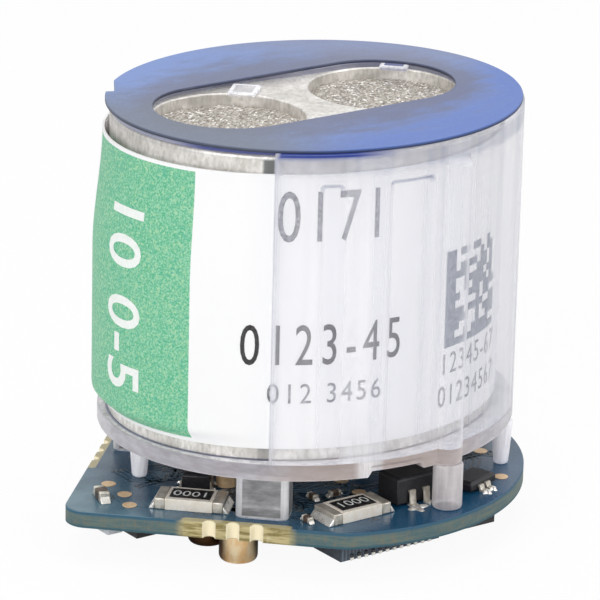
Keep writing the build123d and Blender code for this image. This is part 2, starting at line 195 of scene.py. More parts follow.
class Skin:
    """Grids of points gathered into one mesh, with named values at each point."""

    def __init__(self, *names):
        self.points = []
        self.faces = []
        self.values = {name: [] for name in names}
        self.count = 0

    def grid(self, points, wrap_rows=False, wrap_columns=False, capped=False, **values):
        """Adds a grid. A capped grid gets a flat face on its first and last row."""
        rows, columns = points.shape[:2]
        self.faces += (self.count + quads(rows, columns, wrap_rows, wrap_columns)).tolist()
        if capped:
            for row in (0, rows - 1):
                self.faces.append([self.count + row * columns + step for step in range(columns)])
        self.points.append(points.reshape(-1, 3))
        for name, kept in self.values.items():
            kept.append(np.broadcast_to(values.get(name, 0.0), points.shape[:2]).reshape(-1))
        self.count += rows * columns
        return self

    def loop(self, rows, **values):
        """Adds rows that close into a cross-section at each angle, capped at both ends."""
        columns = {name: np.broadcast_to(kept, rows.shape[:2]).T for name, kept in values.items()}
        return self.grid(rows.transpose(1, 0, 2), wrap_columns=True, capped=True, **columns)


def close_up(mesh):
    """Merges points that coincide and turns all faces outwards."""
    shape = bmesh.new()
    shape.from_mesh(mesh)
    bmesh.ops.remove_doubles(shape, verts=shape.verts, dist=merge_distance)
    bmesh.ops.recalc_face_normals(shape, faces=shape.faces)
    shape.to_mesh(mesh)
    shape.free()


def settle(name, mesh, body, finish, replaced=(), smooth=35.0):
    """Makes a mesh into a piece that rides on a body."""
    mesh.materials.clear()
    mesh.materials.append(finish.material)
    if smooth:
        mesh.shade_smooth()
        mesh.set_sharp_from_angle(angle=math.radians(smooth))
    thing = bpy.data.objects.new(name, mesh)
    bpy.context.scene.collection.objects.link(thing)
    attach(thing, body)
    if replaced:
        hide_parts(*replaced)
    return thing


def piece(name, skin, body, finish, replaced=(), smooth=35.0):
    """Makes a piece from gathered grids."""
    mesh = bpy.data.meshes.new(name)
    mesh.from_pydata((np.concatenate(skin.points) * MM).tolist(), [], skin.faces)
    for value_name, kept in skin.values.items():
        layer = mesh.attributes.new(value_name, "FLOAT", "POINT")
        layer.data.foreach_set("value", np.concatenate(kept).astype(np.float32))
    close_up(mesh)
    settle(name, mesh, body, finish, replaced, smooth)


def softened(name, node, finish, radius, body=BOARD, segments=2):
    """A copy of a CAD node with its points merged and its edges rounded."""
    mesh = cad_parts[node].data.copy()
    shape = bmesh.new()
    shape.from_mesh(mesh)
    bmesh.ops.remove_doubles(shape, verts=shape.verts, dist=0.001 * MM)
    bmesh.ops.dissolve_limit(
        shape, angle_limit=math.radians(1), verts=shape.verts, edges=shape.edges
    )
    shape.to_mesh(mesh)
    shape.free()
    thing = settle(name, mesh, body, finish, (node,))
    if radius:
        bevel = thing.modifiers.new("round", "BEVEL")
        bevel.width = radius * MM
        bevel.segments = segments
        bevel.limit_method = "ANGLE"
        bevel.angle_limit = math.radians(40)


def smoothstep(value, low, high):
    """0 below low, 1 above high, and a smooth S between."""
    share = np.clip((value - low) / (high - low), 0, 1)
    return share * share * (3 - 2 * share)


def plateau(value, start, full, fade, end):
    """Rises smoothly from 0 at start to 1 at full, and falls from fade to 0 at end."""
    return smoothstep(value, start, full) * (1 - smoothstep(value, fade, end))


def directions(heading):
    """Flat unit vectors along a heading in radians and to its left."""
    outwards = np.array([math.cos(heading), math.sin(heading)])
    return outwards, np.array([-outwards[1], outwards[0]])


def oval_reach(angle, a, b, x):
    """Distance from the origin, at an angle in radians, to an oval centred at x."""
    c, s = np.cos(angle), np.sin(angle)
    p = (c / a) ** 2 + (s / b) ** 2
    q = c * x / a**2
    return (q + np.sqrt(q * q - p * ((x / a) ** 2 - 1))) / p


def slot_reach(angle, radius):
    """Distance from the slot's centre, at an angle in radians, to its outline."""
    c, s = np.abs(np.cos(angle)), np.abs(np.sin(angle))
    half = slot_spacing / 2
    straight = radius / np.maximum(s, 1e-9)
    round_end = half * c + np.sqrt(np.maximum(radius**2 - (half * s) ** 2, 0))
    return np.where(straight * c <= half, straight, round_end)


def ring(angle, reach, height, x=0.0, y=0.0):
    """Points at angles, distances and heights."""
    parts = (x + reach * np.cos(angle), y + reach * np.sin(angle), height)
    return np.stack(np.broadcast_arrays(*parts), -1)


def bent(profile, radius, steps=4):
    """A profile with its inner corners rounded by quadratic arcs."""
    profile = np.array(profile, float)
    made = [profile[0]]
    for before, corner, after in zip(profile, profile[1:], profile[2:]):
        towards, away = before - corner, after - corner
        cut = min(radius, np.hypot(*towards) / 2, np.hypot(*away) / 2)
        first = corner + towards / np.hypot(*towards) * cut
        last = corner + away / np.hypot(*away) * cut
        for share in np.linspace(0, 1, steps + 1):
            rest = 1 - share
            made.append(rest**2 * first + 2 * share * rest * corner + share**2 * last)
    made.append(profile[-1])
    return np.array(made)


def turned(skin, profile, x, y, sides=48, **values):
    """Adds a turned shape: a profile of radius and height about an upright axis."""
    profile = np.array(profile, float)
    angle = np.linspace(0, 2 * np.pi, sides, endpoint=False)[None, :]
    points = ring(angle, profile[:, :1], profile[:, 1:], x, y)
    skin.grid(points, wrap_columns=True, **values)


corner_steps = 6
corner_lead = 0.06


def rounded_rectangle(width, depth, corner):
    """Outline points of a rectangle with rounded corners, centred on 0.

    Each corner is an arc of even steps, with one more point a little way along
    the side before it and one after it.
    """
    outline = []
    for quarter, (x, y) in enumerate([(1, 1), (-1, 1), (-1, -1), (1, -1)]):
        turn = np.radians(90 * quarter + np.linspace(0, 90, corner_steps + 1))
        middle = np.array([x * (width / 2 - corner), y * (depth / 2 - corner)])
        arc = middle + corner * np.stack([np.cos(turn), np.sin(turn)], -1)
        before = arc[0] - corner_lead * directions(turn[0])[1]
        after = arc[-1] + corner_lead * directions(turn[-1])[1]
        outline.append(np.concatenate([[before], arc, [after]]))
    return np.concatenate(outline)


# -------------------------------------------------------------- material helpers
def rgb(red, green, blue):
    """A display colour, 0 to 255, as a linear one."""
    share = np.array([red, green, blue]) / 255
    linear = np.where(share <= 0.04045, share / 12.92, ((share + 0.055) / 1.055) ** 2.4)
    return (*linear.tolist(), 1.0)


class Value:
    """One socket. Arithmetic on it adds Math nodes to its material."""

    def __init__(self, finish, socket):
        self.finish = finish
        self.socket = socket

    def out(self, name):
        """Another output of the same node."""
        return Value(self.finish, self.socket.node.outputs[name])

    def math(self, operation, first, second=0.0):
        """A Math node on one or two values."""
        return self.finish.node("Math", {"operation": operation}, {0: first, 1: second})

    def __add__(self, other):
        return self.math("ADD", self, other)

    def __radd__(self, other):
        return self.math("ADD", other, self)

    def __sub__(self, other):
        return self.math("SUBTRACT", self, other)

    def __rsub__(self, other):
        return self.math("SUBTRACT", other, self)

    def __mul__(self, other):
        return self.math("MULTIPLY", self, other)

    def __rmul__(self, other):
        return self.math("MULTIPLY", other, self)

    def __truediv__(self, other):
        return self.math("DIVIDE", self, other)

    def __pow__(self, other):
        return self.math("POWER", self, other)

    def __abs__(self):
        return self.math("ABSOLUTE", self)

    def fraction(self):
        """What is left above the next whole number down."""
        return self.math("FRACT", self)


class Finish:
    """One material, or the world, built node by node."""

    def __init__(self, name, world=None):
        self.material = world or bpy.data.materials.new(name)
        self.material.use_nodes = True
        self.tree = self.material.node_tree
        self.tree.nodes.clear()
        self.place = None

    def node(self, kind, settings=None, inputs=None, output=0):
        """Adds a node, sets its settings, then its sockets, and gives an output."""
        made = self.tree.nodes.new("ShaderNode" + kind)
        for key, value in (settings or {}).items():
            setattr(made, key, value)
        for key, value in (inputs or {}).items():
            if isinstance(value, Value):
                self.tree.links.new(value.socket, made.inputs[key])
            else:
                made.inputs[key].default_value = value
        return Value(self, made.outputs[output])

    def coords(self, stretch=(1, 1, 1)):
        """Object coordinates in millimetres, stretched."""
        if self.place is None:
            self.place = self.node("TexCoord", output="Object")
        scale = tuple(part / MM for part in stretch)
        return self.node("Mapping", {}, {"Vector": self.place, "Scale": scale})

    def axes(self):
        """X, Y and Z in millimetres."""
        parts = self.node("SeparateXYZ", {}, {"Vector": self.coords()})
        return parts, parts.out("Y"), parts.out("Z")

    def value(self, name):
        """A value kept at each point of the piece."""
        return self.node("Attribute", {"attribute_name": name}, {}, "Fac")

    def noise(self, scale, detail=3.0, stretch=(1, 1, 1), roughness=0.5):
        """Noise from 0 to 1, its scale in cycles per millimetre."""
        inputs = {"Vector": self.coords(stretch), "Scale": scale}
        inputs.update({"Detail": detail, "Roughness": roughness})
        return self.node("TexNoise", {}, inputs)

    def cells(self, scale):
        """Three random numbers for each cell, its scale in cells per millimetre."""
        colour = self.node("TexVoronoi", {}, {"Vector": self.coords(), "Scale": scale}, "Color")
        first = self.node("SeparateColor", {}, {"Color": colour})
        return first, first.out("Green"), first.out("Blue")

    def step(self, value, low, high):
        """A smooth step from 0 at low to 1 at high."""
        inputs = {"Value": value, "From Min": low, "From Max": high}
        return self.node("MapRange", {"interpolation_type": "SMOOTHSTEP"}, inputs)

    def spread(self, value, low, high):
        """A value from 0 to 1 spread over a range."""
        return self.node("MapRange", {}, {"Value": value, "To Min": low, "To Max": high})

    def mix(self, share, first, second):
        """A colour between two colours."""
        inputs = {0: share, 6: first, 7: second}
        return self.node("Mix", {"data_type": "RGBA"}, inputs, 2)

    def surface(self, colour, roughness=0.5, metallic=0.0, height=None, depth=0.02, **more):
        """The shader. height and depth in millimetres make its bump."""
        inputs = {"Base Color": colour, "Roughness": roughness, "Metallic": metallic}
        inputs.update({name.replace("_", " ").title(): value for name, value in more.items()})
        if height is not None:
            inputs["Normal"] = self.node("Bump", {}, {"Height": height, "Distance": depth * MM})
        return self.show(self.node("BsdfPrincipled", {}, inputs))

    def show(self, shader, kind="Material"):
        """Makes a shader the one that is seen."""
        end = self.tree.nodes.new("ShaderNodeOutput" + kind)
        self.tree.links.new(shader.socket, end.inputs["Surface"])
        return self


def steel_finish():
    """Drawn stainless with cloudy patches, with painted shade beside the housing's edge and on the
    face's rounded edge.
    """
    finish = Finish("satin stainless")
    x, y, z = finish.axes()
    cloud = finish.noise(0.55, 4.0, roughness=0.6)
    grain = finish.noise(5.0, 3.0, (1, 1, 0.5))
    fine = finish.noise(22.0, 2.0)
    tone = finish.mix(finish.step(cloud, 0.3, 0.7), rgb(208, 204, 199), rgb(252, 249, 245))
    tone = finish.mix(finish.step(grain, 0.35, 0.75) * 0.5, tone, rgb(158, 155, 146))
    # The strip of painted shade: near a line from the axis, only on the wall, weaker low down.
    turn = math.radians(shade_strip_angle)
    aside = abs(x * -math.sin(turn) + y * math.cos(turn))
    strip = 1 - finish.step(aside, shade_strip_width / 2 - 0.12, shade_strip_width / 2 + 0.06)
    strip = strip * finish.step(x * math.cos(turn) + y * math.sin(turn), 6.0, 7.0)
    strip = strip * (1 - finish.step(z, can_top - 0.3, can_top - 0.15))
    strip = strip * finish.spread(finish.step(z, can_bottom, can_bottom + 2.0), 0.5, 1.0)
    shade = finish.mix(finish.step(x, -7.4, -6.8), rgb(152, 154, 152), rgb(112, 114, 114))
    tone = finish.mix(strip, tone, shade)
    # Painted shade on the rounded edge of the face, which dulls its highlight, where the share of
    # the oval comes close to 1.
    out = ((x - can_x) * (x - can_x) / can_a**2 + y * y / can_b**2) ** 0.5
    painted_edge_shade = finish.step(out, 0.965, 0.98) * finish.step(z, can_top - 0.32, can_top - 0.2)
    tone = finish.mix(painted_edge_shade * 0.25, tone, rgb(158, 157, 158))
    rough = finish.spread(grain, 0.25, 0.5)
    return finish.surface(tone, rough, 0.5, grain + fine * 0.5, 0.012)


def frit_finish():
    """Sintered metal: random grains, some with a painted glint, and painted shade in the gaps
    between them.
    """
    finish = Finish("sintered metal")
    shade, painted_glint, polish = finish.cells(9.5)
    tone = finish.mix(shade, rgb(124, 117, 108), rgb(204, 197, 188))
    # Painted glints on some cells, then painted shade where the grains are low.
    tone = finish.mix(finish.step(painted_glint, 0.78, 1.0), tone, rgb(254, 252, 248))
    pit_shade = finish.step(finish.value("grain"), 0.15, 0.62)
    tone = finish.mix(pit_shade, rgb(78, 70, 62), tone)
    return finish.surface(tone, finish.spread(polish, 0.3, 0.65), 0.35)


def film_finish():
    """Satin blue film: greyer towards the slot, deeper blue at the outer edge, with painted shade
    on its cut edges.
    """
    finish = Finish("blue film")
    across = finish.value("across")
    edge = finish.value("edge")
    x, y, _ = finish.axes()
    streak = finish.noise(0.5, 4.0, (1, 2.5, 1), 0.6)
    dirt = finish.noise(2.4, 4.0, (1, 1.8, 1), 0.65)
    fine = finish.noise(14.0, 2.0)
    outer = finish.step(across + (streak - 0.5) * 0.9, 0.15, 0.85)
    tone = finish.mix(outer, rgb(100, 109, 140), rgb(114, 142, 202))
    left = finish.step(x * -0.94 - y * 0.34 + (dirt - 0.5) * 3, 3.5, 9.0)
    tone = finish.mix(left * 0.9, tone, rgb(104, 112, 126))
    right = finish.step(x * 0.7 + y * 0.7 + (dirt - 0.5) * 2, 4.5, 8.5)
    tone = finish.mix(right * 0.6, tone, rgb(126, 130, 152))
    near = finish.step(x * 0.3 - y * 0.95, 2.2, 5.0)
    tone = finish.mix((1 - outer) * near * 0.6, tone, rgb(88, 98, 136))
    front = finish.step(x * 0.45 - y * 0.9, 2.0, 6.5)
    tone = finish.mix(outer * front * 0.85, tone, rgb(78, 112, 190))
    tone = finish.mix(finish.step(dirt, 0.5, 0.8) * 0.28, tone, rgb(132, 128, 150))
    tone = finish.mix(finish.step(fine, 0.5, 0.9) * 0.25, tone, rgb(178, 180, 204))
    # Painted shade on the film's cut edges.
    tone = finish.mix(edge, tone, rgb(22, 28, 52))
    rough = finish.spread(dirt, 0.36, 0.55)
    shadow = finish.node("LightPath", output="Is Shadow Ray")
    bump = streak + dirt * 0.3 + fine * 0.1
    return finish.surface(tone, rough, 0.0, bump, 0.01, alpha=1 - shadow * 0.55)


def paper_finish():
    """Coated paper: a green printed band on white."""
    finish = Finish("label paper")
    angle = finish.value("angle")
    height = finish.value("height")
    speck = finish.noise(11.0, 2.0, roughness=0.8)
    light_dots, dark_dots, _ = finish.cells(9.0)
    green = finish.mix(finish.step(speck, 0.38, 0.66), rgb(82, 182, 136), rgb(160, 216, 182))
    green = finish.mix(finish.step(light_dots, 0.7, 1.0) * 0.5, green, rgb(186, 222, 176))
    green = finish.mix(finish.step(dark_dots, 0.75, 1.0) * 0.5, green, rgb(70, 176, 150))
    band = finish.step(angle, green_low - 0.1, green_low + 0.1)
    band = band * (1 - finish.step(angle, green_high - 0.1, green_high + 0.1))
    band = band * finish.step(height, green_bottom - 0.02, green_bottom + 0.02)
    band = band * (1 - finish.step(height, green_top - 0.02, green_top + 0.02))
    tone = finish.mix(band, rgb(250, 250, 251), green)
    return finish.surface(tone, 0.5, 0.0, speck, 0.003)


def clear_finish():
    """Clear moulding: milky where thick, with painted highlights at its rims, painted
    shade and the film's painted blue at the lip.

    A milk up to 0.35 is wall, 0.42 to 0.62 floor and feet, and above 0.72 a thick
    block. Where the rim is close to 1, on small feet, beads and clips, the plastic
    has a painted glow. The view's path through it grows as it gets flatter.
    """
    finish = Finish("clear moulding")
    milk = finish.value("milk")
    rim = finish.value("rim")
    lip = finish.value("lip")
    crease = finish.value("crease")
    flow = finish.noise(0.55, 3.0, (1.6, 1.6, 0.07), 0.5)
    fine = finish.noise(2.6, 4.0, (0.5, 0.5, 1.4), 0.65)
    rain = finish.noise(3.2, 3.0, (1, 1, 0.12), 0.6)
    facing = finish.node("LayerWeight", {}, {"Blend": 0.5}, "Facing")
    shadow = finish.node("LightPath", output="Is Shadow Ray")
    tone = finish.mix(finish.step(flow, 0.3, 0.7), rgb(220, 221, 232), rgb(248, 247, 251))
    floor_tone = finish.mix(finish.step(fine, 0.3, 0.75), rgb(190, 186, 192), rgb(216, 213, 221))
    x, y, _ = finish.axes()
    warm = finish.step(x * 0.6 - y * 0.8 + finish.noise(0.5, 2.0) * 3, 2.0, 5.0)
    warm = warm * (1 - finish.step(x, 0.0, 5.0))
    floor_tone = finish.mix(warm * 0.55, floor_tone, rgb(206, 182, 166))
    tone = finish.mix(finish.step(milk, 0.35, 0.42), tone, floor_tone)
    thick = finish.mix(finish.step(fine, 0.3, 0.75), rgb(128, 128, 130), rgb(172, 172, 174))
    tone = finish.mix(finish.step(milk, 0.62, 0.72), tone, thick)
    # Painted highlights at the rims, streaked by noise.
    bright = finish.mix(finish.step(rain, 0.35, 0.65), rgb(206, 206, 211), rgb(246, 246, 249))
    tone = finish.mix(rim, tone, bright)
    # Painted shade: lines and streaks in the wall, and dark gaps seen through it.
    tone = finish.mix(crease, tone, rgb(138, 145, 170))
    # The film's blue painted at the lip as a reflection.
    tone = finish.mix(lip, tone, rgb(22, 52, 138))
    alpha = milk + rim * 0.5 + crease * 0.45 + lip * 0.9 + (flow - 0.5) * 0.08
    clear = 1 - finish.node("Clamp", {}, {"Value": alpha})
    path = (1.12 - facing) ** -1
    alpha = (1 - clear**path) * (1 - shadow * 0.75)
    # A painted glow where the rim is close to 1.
    painted_glow = finish.mix(finish.step(rim, 0.85, 0.95), rgb(0, 0, 0), rgb(150, 149, 156))
    return finish.surface(
        tone, 0.24, alpha=alpha, emission_color=painted_glow, emission_strength=0.6
    )


def board_finish():
    """Glossy solder mask with painted light at its left and painted shade towards its right, and a
    layered edge that is bare where it broke away.
    """
    finish = Finish("solder mask")
    x, _, z = finish.axes()
    cloud = finish.noise(0.5, 4.0, (1, 1, 0.01))
    weave = finish.noise(9.0, 2.0, (1, 1, 0.01))
    # The mask's own tone, and a pale tone at the left that is painted light.
    dark = finish.mix(finish.step(cloud, 0.35, 0.65), rgb(30, 72, 102), rgb(60, 98, 122))
    pale = finish.mix(finish.step(cloud, 0.35, 0.65), rgb(66, 102, 122), rgb(98, 130, 146))
    tone = finish.mix(finish.step(x, -11.5, -9.0), pale, dark)
    tone = finish.mix(finish.step(weave, 0.45, 0.8) * 0.4, tone, rgb(92, 128, 142))
    # Painted shade towards the right, under the housing.
    right = finish.step(x + (cloud - 0.5) * 6, -6.0, 0.0)
    tone = finish.mix(right * 0.7, tone, rgb(8, 74, 112))
    layer = finish.noise(1.0, 4.0, (0.5, 0.5, 6.0), 0.7)
    mottle = finish.noise(3.2, 4.0, (1, 1, 0.6), 0.7)
    laminate = finish.mix(finish.step(layer, 0.35, 0.65), rgb(70, 98, 104), rgb(98, 114, 106))
    laminate = finish.mix(finish.step(mottle, 0.45, 0.75) * 0.6, laminate, rgb(124, 112, 90))
    skin_line = finish.step(z, board_top - 0.2, board_top - 0.1)
    laminate = finish.mix(skin_line, laminate, rgb(40, 88, 112))
    laminate = finish.mix(1 - finish.step(z, 0.08, 0.18), laminate, rgb(44, 86, 98))
    bare = finish.value("bare")
    bite = finish.value("bite")
    olive = finish.mix(finish.step(layer, 0.4, 0.6), rgb(132, 118, 66), rgb(196, 182, 134))
    olive = finish.mix(finish.step(mottle, 0.5, 0.8) * 0.5, olive, rgb(226, 214, 176))
    olive = finish.mix(bite, olive, rgb(250, 240, 208))
    laminate = finish.mix(bare, laminate, olive)
    side = finish.value("side")
    tone = finish.mix(finish.step(bare, 0.5, 0.8), tone, rgb(186, 174, 130))
    tone = finish.mix(side, tone, laminate)
    return finish.surface(tone, 0.24 + side * 0.36, 0.0, weave * 0.3 + side * mottle, 0.03)


def track_finish():
    """Copper below the solder mask, and bare vias with a hole in painted shade."""
    finish = Finish("masked copper")
    light = finish.value("light")
    via = finish.value("via")
    hole = finish.value("hole")
    tone = finish.mix(light, rgb(26, 56, 80), rgb(76, 112, 130))
    tone = finish.mix(via, tone, rgb(84, 96, 104))
    # Painted shade in the via's hole.
    tone = finish.mix(hole, tone, rgb(24, 26, 30))
    return finish.surface(tone, 0.3)


def brass_finish():
    """Brass with a painted highlight on one side and a painted dark reflection round it."""
    finish = Finish("brass with painted reflection")
    cloud = finish.noise(2.2, 4.0, (1, 1, 0.5), 0.6)
    facing = finish.value("facing") + (cloud - 0.5) * 0.25
    tone = finish.mix(finish.step(cloud, 0.3, 0.7), rgb(240, 196, 138), rgb(255, 234, 196))
    # Painted dark reflection away from the highlight side, in two steps.
    tone = finish.mix(1 - finish.step(facing, 0.35, 0.8), tone, rgb(120, 86, 54))
    tone = finish.mix(1 - finish.step(facing, -0.1, 0.35), tone, rgb(112, 82, 58))
    return finish.surface(tone, 0.24, 1.0, cloud, 0.01)


def contact_finish():
    """Plated contacts, bright at their ends and dark above."""
    finish = Finish("plated contact")
    _, _, z = finish.axes()
    end = finish.step(z, contact_bright - 0.03, contact_bright + 0.03)
    tone = finish.mix(end, rgb(255, 250, 240), rgb(62, 62, 66))
    return finish.surface(tone, 0.3, 0.4)


def connector_finish():
    """Dark moulding with fine upright lines."""
    finish = Finish("connector moulding")
    x, _, _ = finish.axes()
    line = abs((x / 0.2).fraction() - 0.5)
    cloud = finish.noise(4.0, 3.0)
    tone = finish.mix(finish.step(line, 0.12, 0.4), rgb(52, 60, 70), rgb(92, 104, 118))
    tone = finish.mix(finish.step(cloud, 0.4, 0.8) * 0.4, tone, rgb(92, 98, 104))
    return finish.surface(tone, 0.42, 0.0, line, 0.02)


def plain_finish(name, colour, second, roughness, metallic=0.0, scale=6.0, depth=0.01, **more):
    """A moulded, fired or plated surface with a second tone in fine noise."""
    finish = Finish(name)
    cloud = finish.noise(scale, 4.0, roughness=0.6)
    fine = finish.noise(scale * 5, 2.0)
    tone = finish.mix(finish.step(cloud, 0.3, 0.7), colour, second)
    rough = finish.spread(cloud, roughness - 0.08, roughness + 0.08)
    return finish.surface(tone, rough, metallic, cloud + fine * 0.5, depth, **more)


# ------------------------------------------------------------------------ camera
view_azimuth = math.radians(-36.0)
view_elevation = math.radians(16.0)
view_roll = math.radians(1.4)
view_yaw = math.radians(0.198)    # turned left of and below the film's middle
view_pitch = math.radians(2.7353)
view_distance = 200.0
focal_length = 260.4
sensor_width = 36.0


def set_camera():
    """Stands the camera off the film's middle, then turns its axis below it."""
    target = Vector((0, 0, film_top))
    level = math.cos(view_elevation)
    back = Vector(
        (math.sin(view_azimuth) * level, -math.cos(view_azimuth) * level, math.sin(view_elevation))
    )
    right = Vector((0, 0, 1)).cross(back).normalized()
    turn = Matrix((right, back.cross(right), back)).transposed()
    turn = turn @ Matrix.Rotation(view_roll, 3, "Z")
    turn = turn @ Matrix.Rotation(view_yaw, 3, "Y") @ Matrix.Rotation(-view_pitch, 3, "X")
    data = bpy.data.cameras.new("camera")
    data.lens = focal_length
    data.sensor_width = sensor_width
    data.clip_start = 0.01
    data.clip_end = 10
    camera = bpy.data.objects.new("camera", data)
    bpy.context.scene.collection.objects.link(camera)
    camera.matrix_world = Matrix.Translation((target + back * view_distance) * MM) @ turn.to_4x4()
    bpy.context.scene.camera = camera


set_camera()
bpy.context.scene.view_settings.view_transform = "Standard"

# ----------------------------------------------------------------------- finishes
green_low, green_high = 157.5, 203.2
green_bottom, green_top = label_bottom + 0.2, label_top - 0.16

steel = steel_finish()
sintered = frit_finish()
film = film_finish()
paper = paper_finish()
clear = clear_finish()
mask = board_finish()
copper = track_finish()
connector = connector_finish()
contact = contact_finish()
gold = plain_finish("gold plate", rgb(240, 196, 146), rgb(254, 224, 182), 0.32, 0.4)
brass = brass_finish()
alumina = plain_finish("alumina", rgb(240, 230, 214), rgb(252, 246, 236), 0.5, 0.0, 3.0)
glaze = plain_finish("black glaze", rgb(20, 19, 20), rgb(34, 32, 32), 0.18)
tin = plain_finish("tin plate", rgb(172, 165, 152), rgb(222, 216, 205), 0.32, 0.45, 1.6, 0.015)
brown = plain_finish("brown ceramic", rgb(58, 46, 40), rgb(104, 84, 68), 0.4)
wetted = plain_finish("wetted solder", rgb(216, 212, 204), rgb(252, 250, 246), 0.28, 0.6, 2.0, 0.03)
black = plain_finish("moulding compound", rgb(22, 22, 25), rgb(40, 40, 44), 0.42, 0.0, 9.0)
pale = plain_finish("pale ceramic", rgb(196, 200, 204), rgb(222, 224, 228), 0.4)
resin = plain_finish("cast resin", rgb(20, 20, 24), rgb(34, 34, 40), 0.2, 0.0, 1.5)
grey = plain_finish("grey moulding", rgb(96, 96, 100), rgb(122, 122, 128), 0.45)
nickel = plain_finish("nickel plate", rgb(196, 190, 178), rgb(222, 218, 208), 0.22, 1.0)
fired = plain_finish("porous bead", rgb(214, 208, 196), rgb(238, 234, 226), 0.8, 0.0, 8.0, 0.05)
white_ink = plain_finish("white ink", rgb(238, 246, 240), rgb(252, 253, 252), 0.5)
grey_ink = plain_finish("worn grey ink", rgb(96, 96, 104), rgb(168, 168, 176), 0.6, 0.0, 5.0)
slate_ink = plain_finish("slate ink", rgb(84, 94, 110), rgb(140, 148, 160), 0.6, 0.0, 5.0)
black_ink = plain_finish("black ink", rgb(36, 34, 36), rgb(70, 68, 70), 0.6, 0.0, 5.0)


# --------------------------------------------------------------------------- frits
grain_pitch = 0.09
grain_count = 40                 # grains from the middle of a frit to past its rim
frit_rounding = 0.1


def grain_height(x, y, rng):
    """Height of packed round grains, from 0 to 1.

    The grains' centres lie on a square lattice, each moved at random. A grain is
    half a sphere of random height, and the tallest of the nine nearest counts.
    """
    side = 2 * grain_count + 1
    span = np.arange(-grain_count, grain_count + 1) * grain_pitch
    seeds = np.stack(np.meshgrid(span, span), -1).reshape(-1, 2)
    seeds = seeds + rng.uniform(-0.45, 0.45, seeds.shape) * grain_pitch
    size = rng.uniform(0.55, 1.0, len(seeds))
    column = np.clip(np.rint(x / grain_pitch).astype(int) + grain_count, 1, side - 2)
    row = np.clip(np.rint(y / grain_pitch).astype(int) + grain_count, 1, side - 2)
    tallest = np.zeros_like(x)
    for step_row in (-1, 0, 1):
        for step_column in (-1, 0, 1):
            near = (row + step_row) * side + column + step_column
            gap = np.hypot(x - seeds[near, 0], y - seeds[near, 1]) / grain_pitch
            dome = size[near] * np.sqrt(np.clip(1 - (gap / 0.85) ** 2, 0, 1))
            tallest = np.maximum(tallest, dome)
    return tallest


def make_frits():
    """Discs on a polar grid, whose tops carry grains that end at a round rim."""
    rng = np.random.default_rng(7)
    reach = np.linspace(0, frit_radius, 140)[:, None]
    angle = np.linspace(0, 2 * np.pi, 520, endpoint=False)[None, :]
    rim = smoothstep(frit_radius - reach, 0.0, frit_rounding)
    for node, (x, y) in zip(("detector_frit", "compensator_frit"), frit_centres):
        grain = grain_height(reach * np.cos(angle), reach * np.sin(angle), rng)
        top = ring(angle, reach, frit_top - grain_depth * (1 - grain * rim), x, y)
        skin = Skin("grain").grid(top, wrap_columns=True, grain=grain)
        wall = [(frit_radius, frit_top - grain_depth), (frit_radius, frit_bottom), (0, frit_bottom)]
        turned(skin, wall, x, y, angle.size, grain=0.6)
        piece(f"{node}_face", skin, PACK, sintered, (node,), 60.0)


# ----------------------------------------------------------------------- blue film
film_bevel = 0.035


def make_film():
    """A thin ring between an oval and a stadium slot, its upper rims bevelled.

    Each cross-section runs up the slot's wall, across the top and down the outer
    wall, and closes below. The notch is a straight trim that ends in a step.
    """
    angle = np.radians(np.linspace(-180, 180, 960, endpoint=False))[None, :]
    outer = oval_reach(angle, film_a, film_b, 0.0)
    notch = np.radians(gasket_notch_angle)
    flat = (oval_reach(notch, film_a, film_b, 0.0) - gasket_notch_depth) / np.cos(angle - notch)
    near = (angle < notch) & (flat * np.sin(notch - angle) < gasket_notch_length) & (flat > 0)
    outer = np.where(near, np.minimum(outer, flat), outer)
    inner = slot_reach(angle, slot_radius)
    outer_x, outer_y = outer * np.cos(angle), outer * np.sin(angle)
    inner_x, inner_y = slot_x + inner * np.cos(angle), slot_y + inner * np.sin(angle)
    length_x, length_y = outer_x - inner_x, outer_y - inner_y
    shares = np.concatenate([[0, 0], np.linspace(0, 1, 26), [1, 1]])[:, None]
    inset = np.zeros_like(shares)
    inset[2], inset[-3] = film_bevel, -film_bevel
    height = np.full_like(shares, film_top)
    height[[0, -1]] = film_bottom
    height[[1, -2]] = film_top - film_bevel
    shares = shares + inset / np.hypot(length_x, length_y)
    # Painted shade on the cut edges, full on the upright walls and less on the bevels.
    edge = np.zeros_like(shares)
    edge[[0, -1]] = 1.0
    edge[[1, -2]] = 0.45
    parts = (inner_x + length_x * shares, inner_y + length_y * shares, height)
    points = np.stack(np.broadcast_arrays(*parts), -1)
    skin = Skin("across", "edge")
    skin.grid(points, wrap_rows=True, wrap_columns=True, across=shares, edge=edge)
    piece("sealing_film", skin, PACK, film, ("face_gasket",))


# --------------------------------------------------------------------- wrap label
window_middle = math.radians(window_start + window_end) / 2
window_edge = math.cos(window_middle - math.radians(window_start))    # of its half angle
swell_foot = 0.1                 # how far the label stands off at its bottom edge,
swell_middle = 0.75              # at mid height
swell_top = 0.25                 # and at its top edge
tuck_height = 0.8                # height over which it draws in towards its bottom edge
fall_height = 5.5                # and towards its top edge
figures_height = 10.75           # height of the middle of the figures on the green band
code_angle = -60.5               # where the block pattern and the figures below it stand
pattern_cells = 13
pattern_pitch = 0.355


def label_reach(turn, height, offset):
    """Distance from the can's axis to the label, at an angle in radians.

    The label follows the can's oval. In the window it stands off it by a swell
    times a cosine share, most of all at mid height and hardly at its bottom edge.
    """
    share = np.clip((np.cos(turn - window_middle) - window_edge) / (1 - window_edge), 0, 1)
    risen = smoothstep(height, label_bottom, label_bottom + tuck_height)
    fallen = smoothstep(height, label_top - fall_height, label_top)
    swell = swell_foot + (swell_middle - swell_foot) * risen - (swell_middle - swell_top) * fallen
    radius = 1 / np.sqrt((np.cos(turn) / can_a) ** 2 + (np.sin(turn) / can_b) ** 2)
    return radius + offset + swell * share


